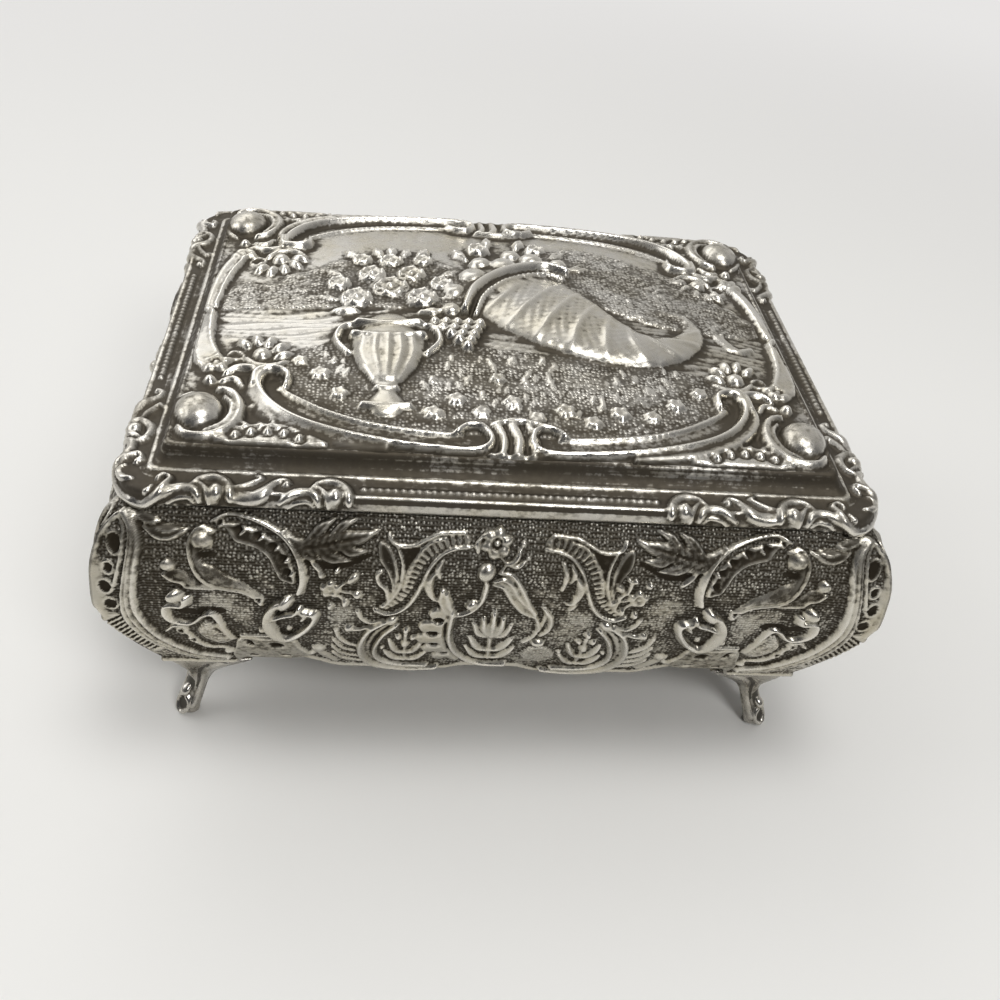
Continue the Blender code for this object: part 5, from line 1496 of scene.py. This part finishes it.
def makeFoot(name, side, end, node):
    table = smoothLine(footForm["stations"], 6)
    top = table[-1, 0]

    def spot(u, v):
        return u * np.interp(v * top, table[:, 0], table[:, 1]), v * top

    def form(u, v, relief, front):
        height = v * top
        reach, inset, thick = (np.interp(height, table[:, 0], table[:, column]) for column in (1, 2, 3))
        s = u * reach
        root = np.sqrt(s * s + footForm["edge"] ** 2)
        dx, dy = (root - s) / 2, (root + s) / 2
        outX, outY = (1 + s / root) / 2, (1 - s / root) / 2
        size = np.hypot(outX, outY)
        rounding = 0.9 * np.abs(u) ** 5 + 0.6 * np.clip(1 - height / 0.8, 0, 1) ** 2
        move = np.where(front, relief - rounding, -thick * (1 - 0.25 * np.abs(u) ** 3))
        x = halfWidth - inset - dx + move * outX / size
        y = halfDepth - inset - dy + move * outY / size
        return np.stack([side * x, end * y, height], 1)

    sheet = newSheet(name, footForm["columns"], footForm["rows"], spot)
    # hollow leaf toe, ball, and the raised edges of the leg, with painted shade in the toe, round the ball
    # and inside the leg's edges
    boss(sheet, 0.0, 2.2, 1.5, -0.6, 1.2, way="over", tone=0.9)
    stroke(sheet, [(0.0, 4.4), (-1.6, 3.2), (-1.8, 1.6), (0.0, 0.4), (1.8, 1.6), (1.6, 3.2), (0.0, 4.4)],
           0.45, 0.5)
    boss(sheet, 0.0, 6.3, 1.5, 0.0, 1.2, way="over", tone=0.7)
    boss(sheet, 0.0, 5.2, 1.15, 1.25)
    for half in (1, -1):
        stroke(sheet, [(half * 2.0, 6.2), (half * 2.3, 8.4), (half * 3.8, 11.4), (half * 7.0, 14.4)], 0.3,
               0.0, way="over", tone=0.6)
        stroke(sheet, [(half * 2.8, 2.4), (half * 2.9, 6.6), (half * 4.2, 9.8), (half * 7.6, 13.2),
                       (half * 10.8, 15.2)], 0.7, 0.4)
    sheet["stippled"] = 0.0
    turnOut(bendSheet(sheet, form, footSilver, "casket_body", node, cell=0.14))


for side, across in ((-1, "left"), (1, "right")):
    for end, label in ((-1, "front"), (1, "back")):
        makeFoot(label + across.title() + "Foot", side, end, f"{label}_{across}_foot")
print("feet")

# Velvet lining and pads

clothForm = {
    "linings": (("front_lining", "frontLining", 0), ("right_lining", "rightLining", pi / 2),
                ("back_lining", "backLining", pi), ("left_lining", "leftLining", -pi / 2)),
    "gap": 0.25, "thickness": 1.15, "top": 51.5, "lugTop": 49.1, "lugMiddle": 30.0, "lugHalf": 8.4,
    "liningCells": (120, 44), "padCells": (150, 120), "padEdge": 2.2,
}


def makeLining(node, name, turn):
    halfLength, reach = sideSizes(turn)
    low = floorTop + 0.1
    setback = wallForm["thickness"] + clothForm["gap"]

    def topAt(u):
        if node != "back_lining":
            return np.full(len(u), clothForm["top"])
        away = np.abs(np.abs(u) * halfLength - clothForm["lugMiddle"])
        share = np.clip((away - clothForm["lugHalf"] + 0.6) / 1.2, 0, 1)
        share = share * share * (3 - 2 * share)
        return clothForm["lugTop"] + (clothForm["top"] - clothForm["lugTop"]) * share

    def spot(u, v):
        return u * halfLength, low + v * (topAt(u) - low)

    def form(u, v, relief, front):
        height = low + v * (topAt(u) - low)
        offset = wallOffset(height) - setback - np.where(front, clothForm["thickness"] + relief, 0.0)
        across = u * (halfLength + offset - 0.2)
        return setRound(across, -(reach + offset), height, turn)

    sheet = newSheet(name, *clothForm["liningCells"], spot)
    x, z = sheet["at"].T
    edge = np.minimum(z - low, clothForm["top"] - z)
    sheet["high"] = (0.10 * np.sin(x / 6.3 + 1.7 * np.sin(z / 8.0)) * np.sin(z / 7.0 + x / 19.0)
                     - 0.45 * np.exp(-np.clip(edge, 0, None) / 0.9) + 0.1)
    sheet["stippled"] = 0.0
    piece = bendSheet(sheet, form, velvet, "casket_body", node)
    turnOut(piece)


def makePad(name, node, body, way):
    low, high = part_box(node)
    low, high = low / mm, high / mm
    halfX, halfY = (high.x - low.x) / 2, (high.y - low.y) / 2
    face, back = (high.z, low.z) if way > 0 else (low.z, high.z)

    def spot(u, v):
        return u * halfX, (2 * v - 1) * halfY

    def form(u, v, relief, front):
        x, y = u * halfX, (2 * v - 1) * halfY
        # rounded corners: points near a corner are drawn in
        pull = 1 - 0.022 * (np.abs(u) ** 12) * (np.abs(2 * v - 1) ** 12)
        inner = np.minimum(halfX - np.abs(x), halfY - np.abs(y))
        edge = 1 - np.clip(inner / clothForm["padEdge"], 0, 1)
        drop = abs(face - back) * 0.72 * (1 - np.sqrt(1 - edge ** 2))
        z = np.where(front, face - way * (drop - relief), back)
        return np.stack([x * pull, y * pull, z], 1)

    sheet = newSheet(name, *clothForm["padCells"], spot)
    x, y = sheet["at"].T
    sheet["high"] = (0.09 * np.sin(x / 9.0 + np.sin(y / 7.0)) * np.sin(y / 8.0 + x / 23.0)
                     - 0.22 * (1 - (1 - (x / halfX) ** 2) * (1 - (y / halfY) ** 2)) - 0.05)
    sheet["stippled"] = 0.0
    piece = bendSheet(sheet, form, velvet, body, node)
    turnOut(piece)


for node, name, turn in clothForm["linings"]:
    makeLining(node, name, turn)
makePad("floorCushion", "floor_pad", "casket_body", 1)
makePad("lidCushion", "lid_pad", "lid", -1)
print("velvet")

# Carried-over solids

finishes = (("hinge", hingeSteel), ("floor_plate", floorSheet), ("foot", footSilver), ("lid", footSilver))
for name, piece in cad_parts.items():
    for word, finish in finishes:
        if word in name and not name.endswith("_pad"):
            piece.data.materials.clear()
            piece.data.materials.append(finish)
            break
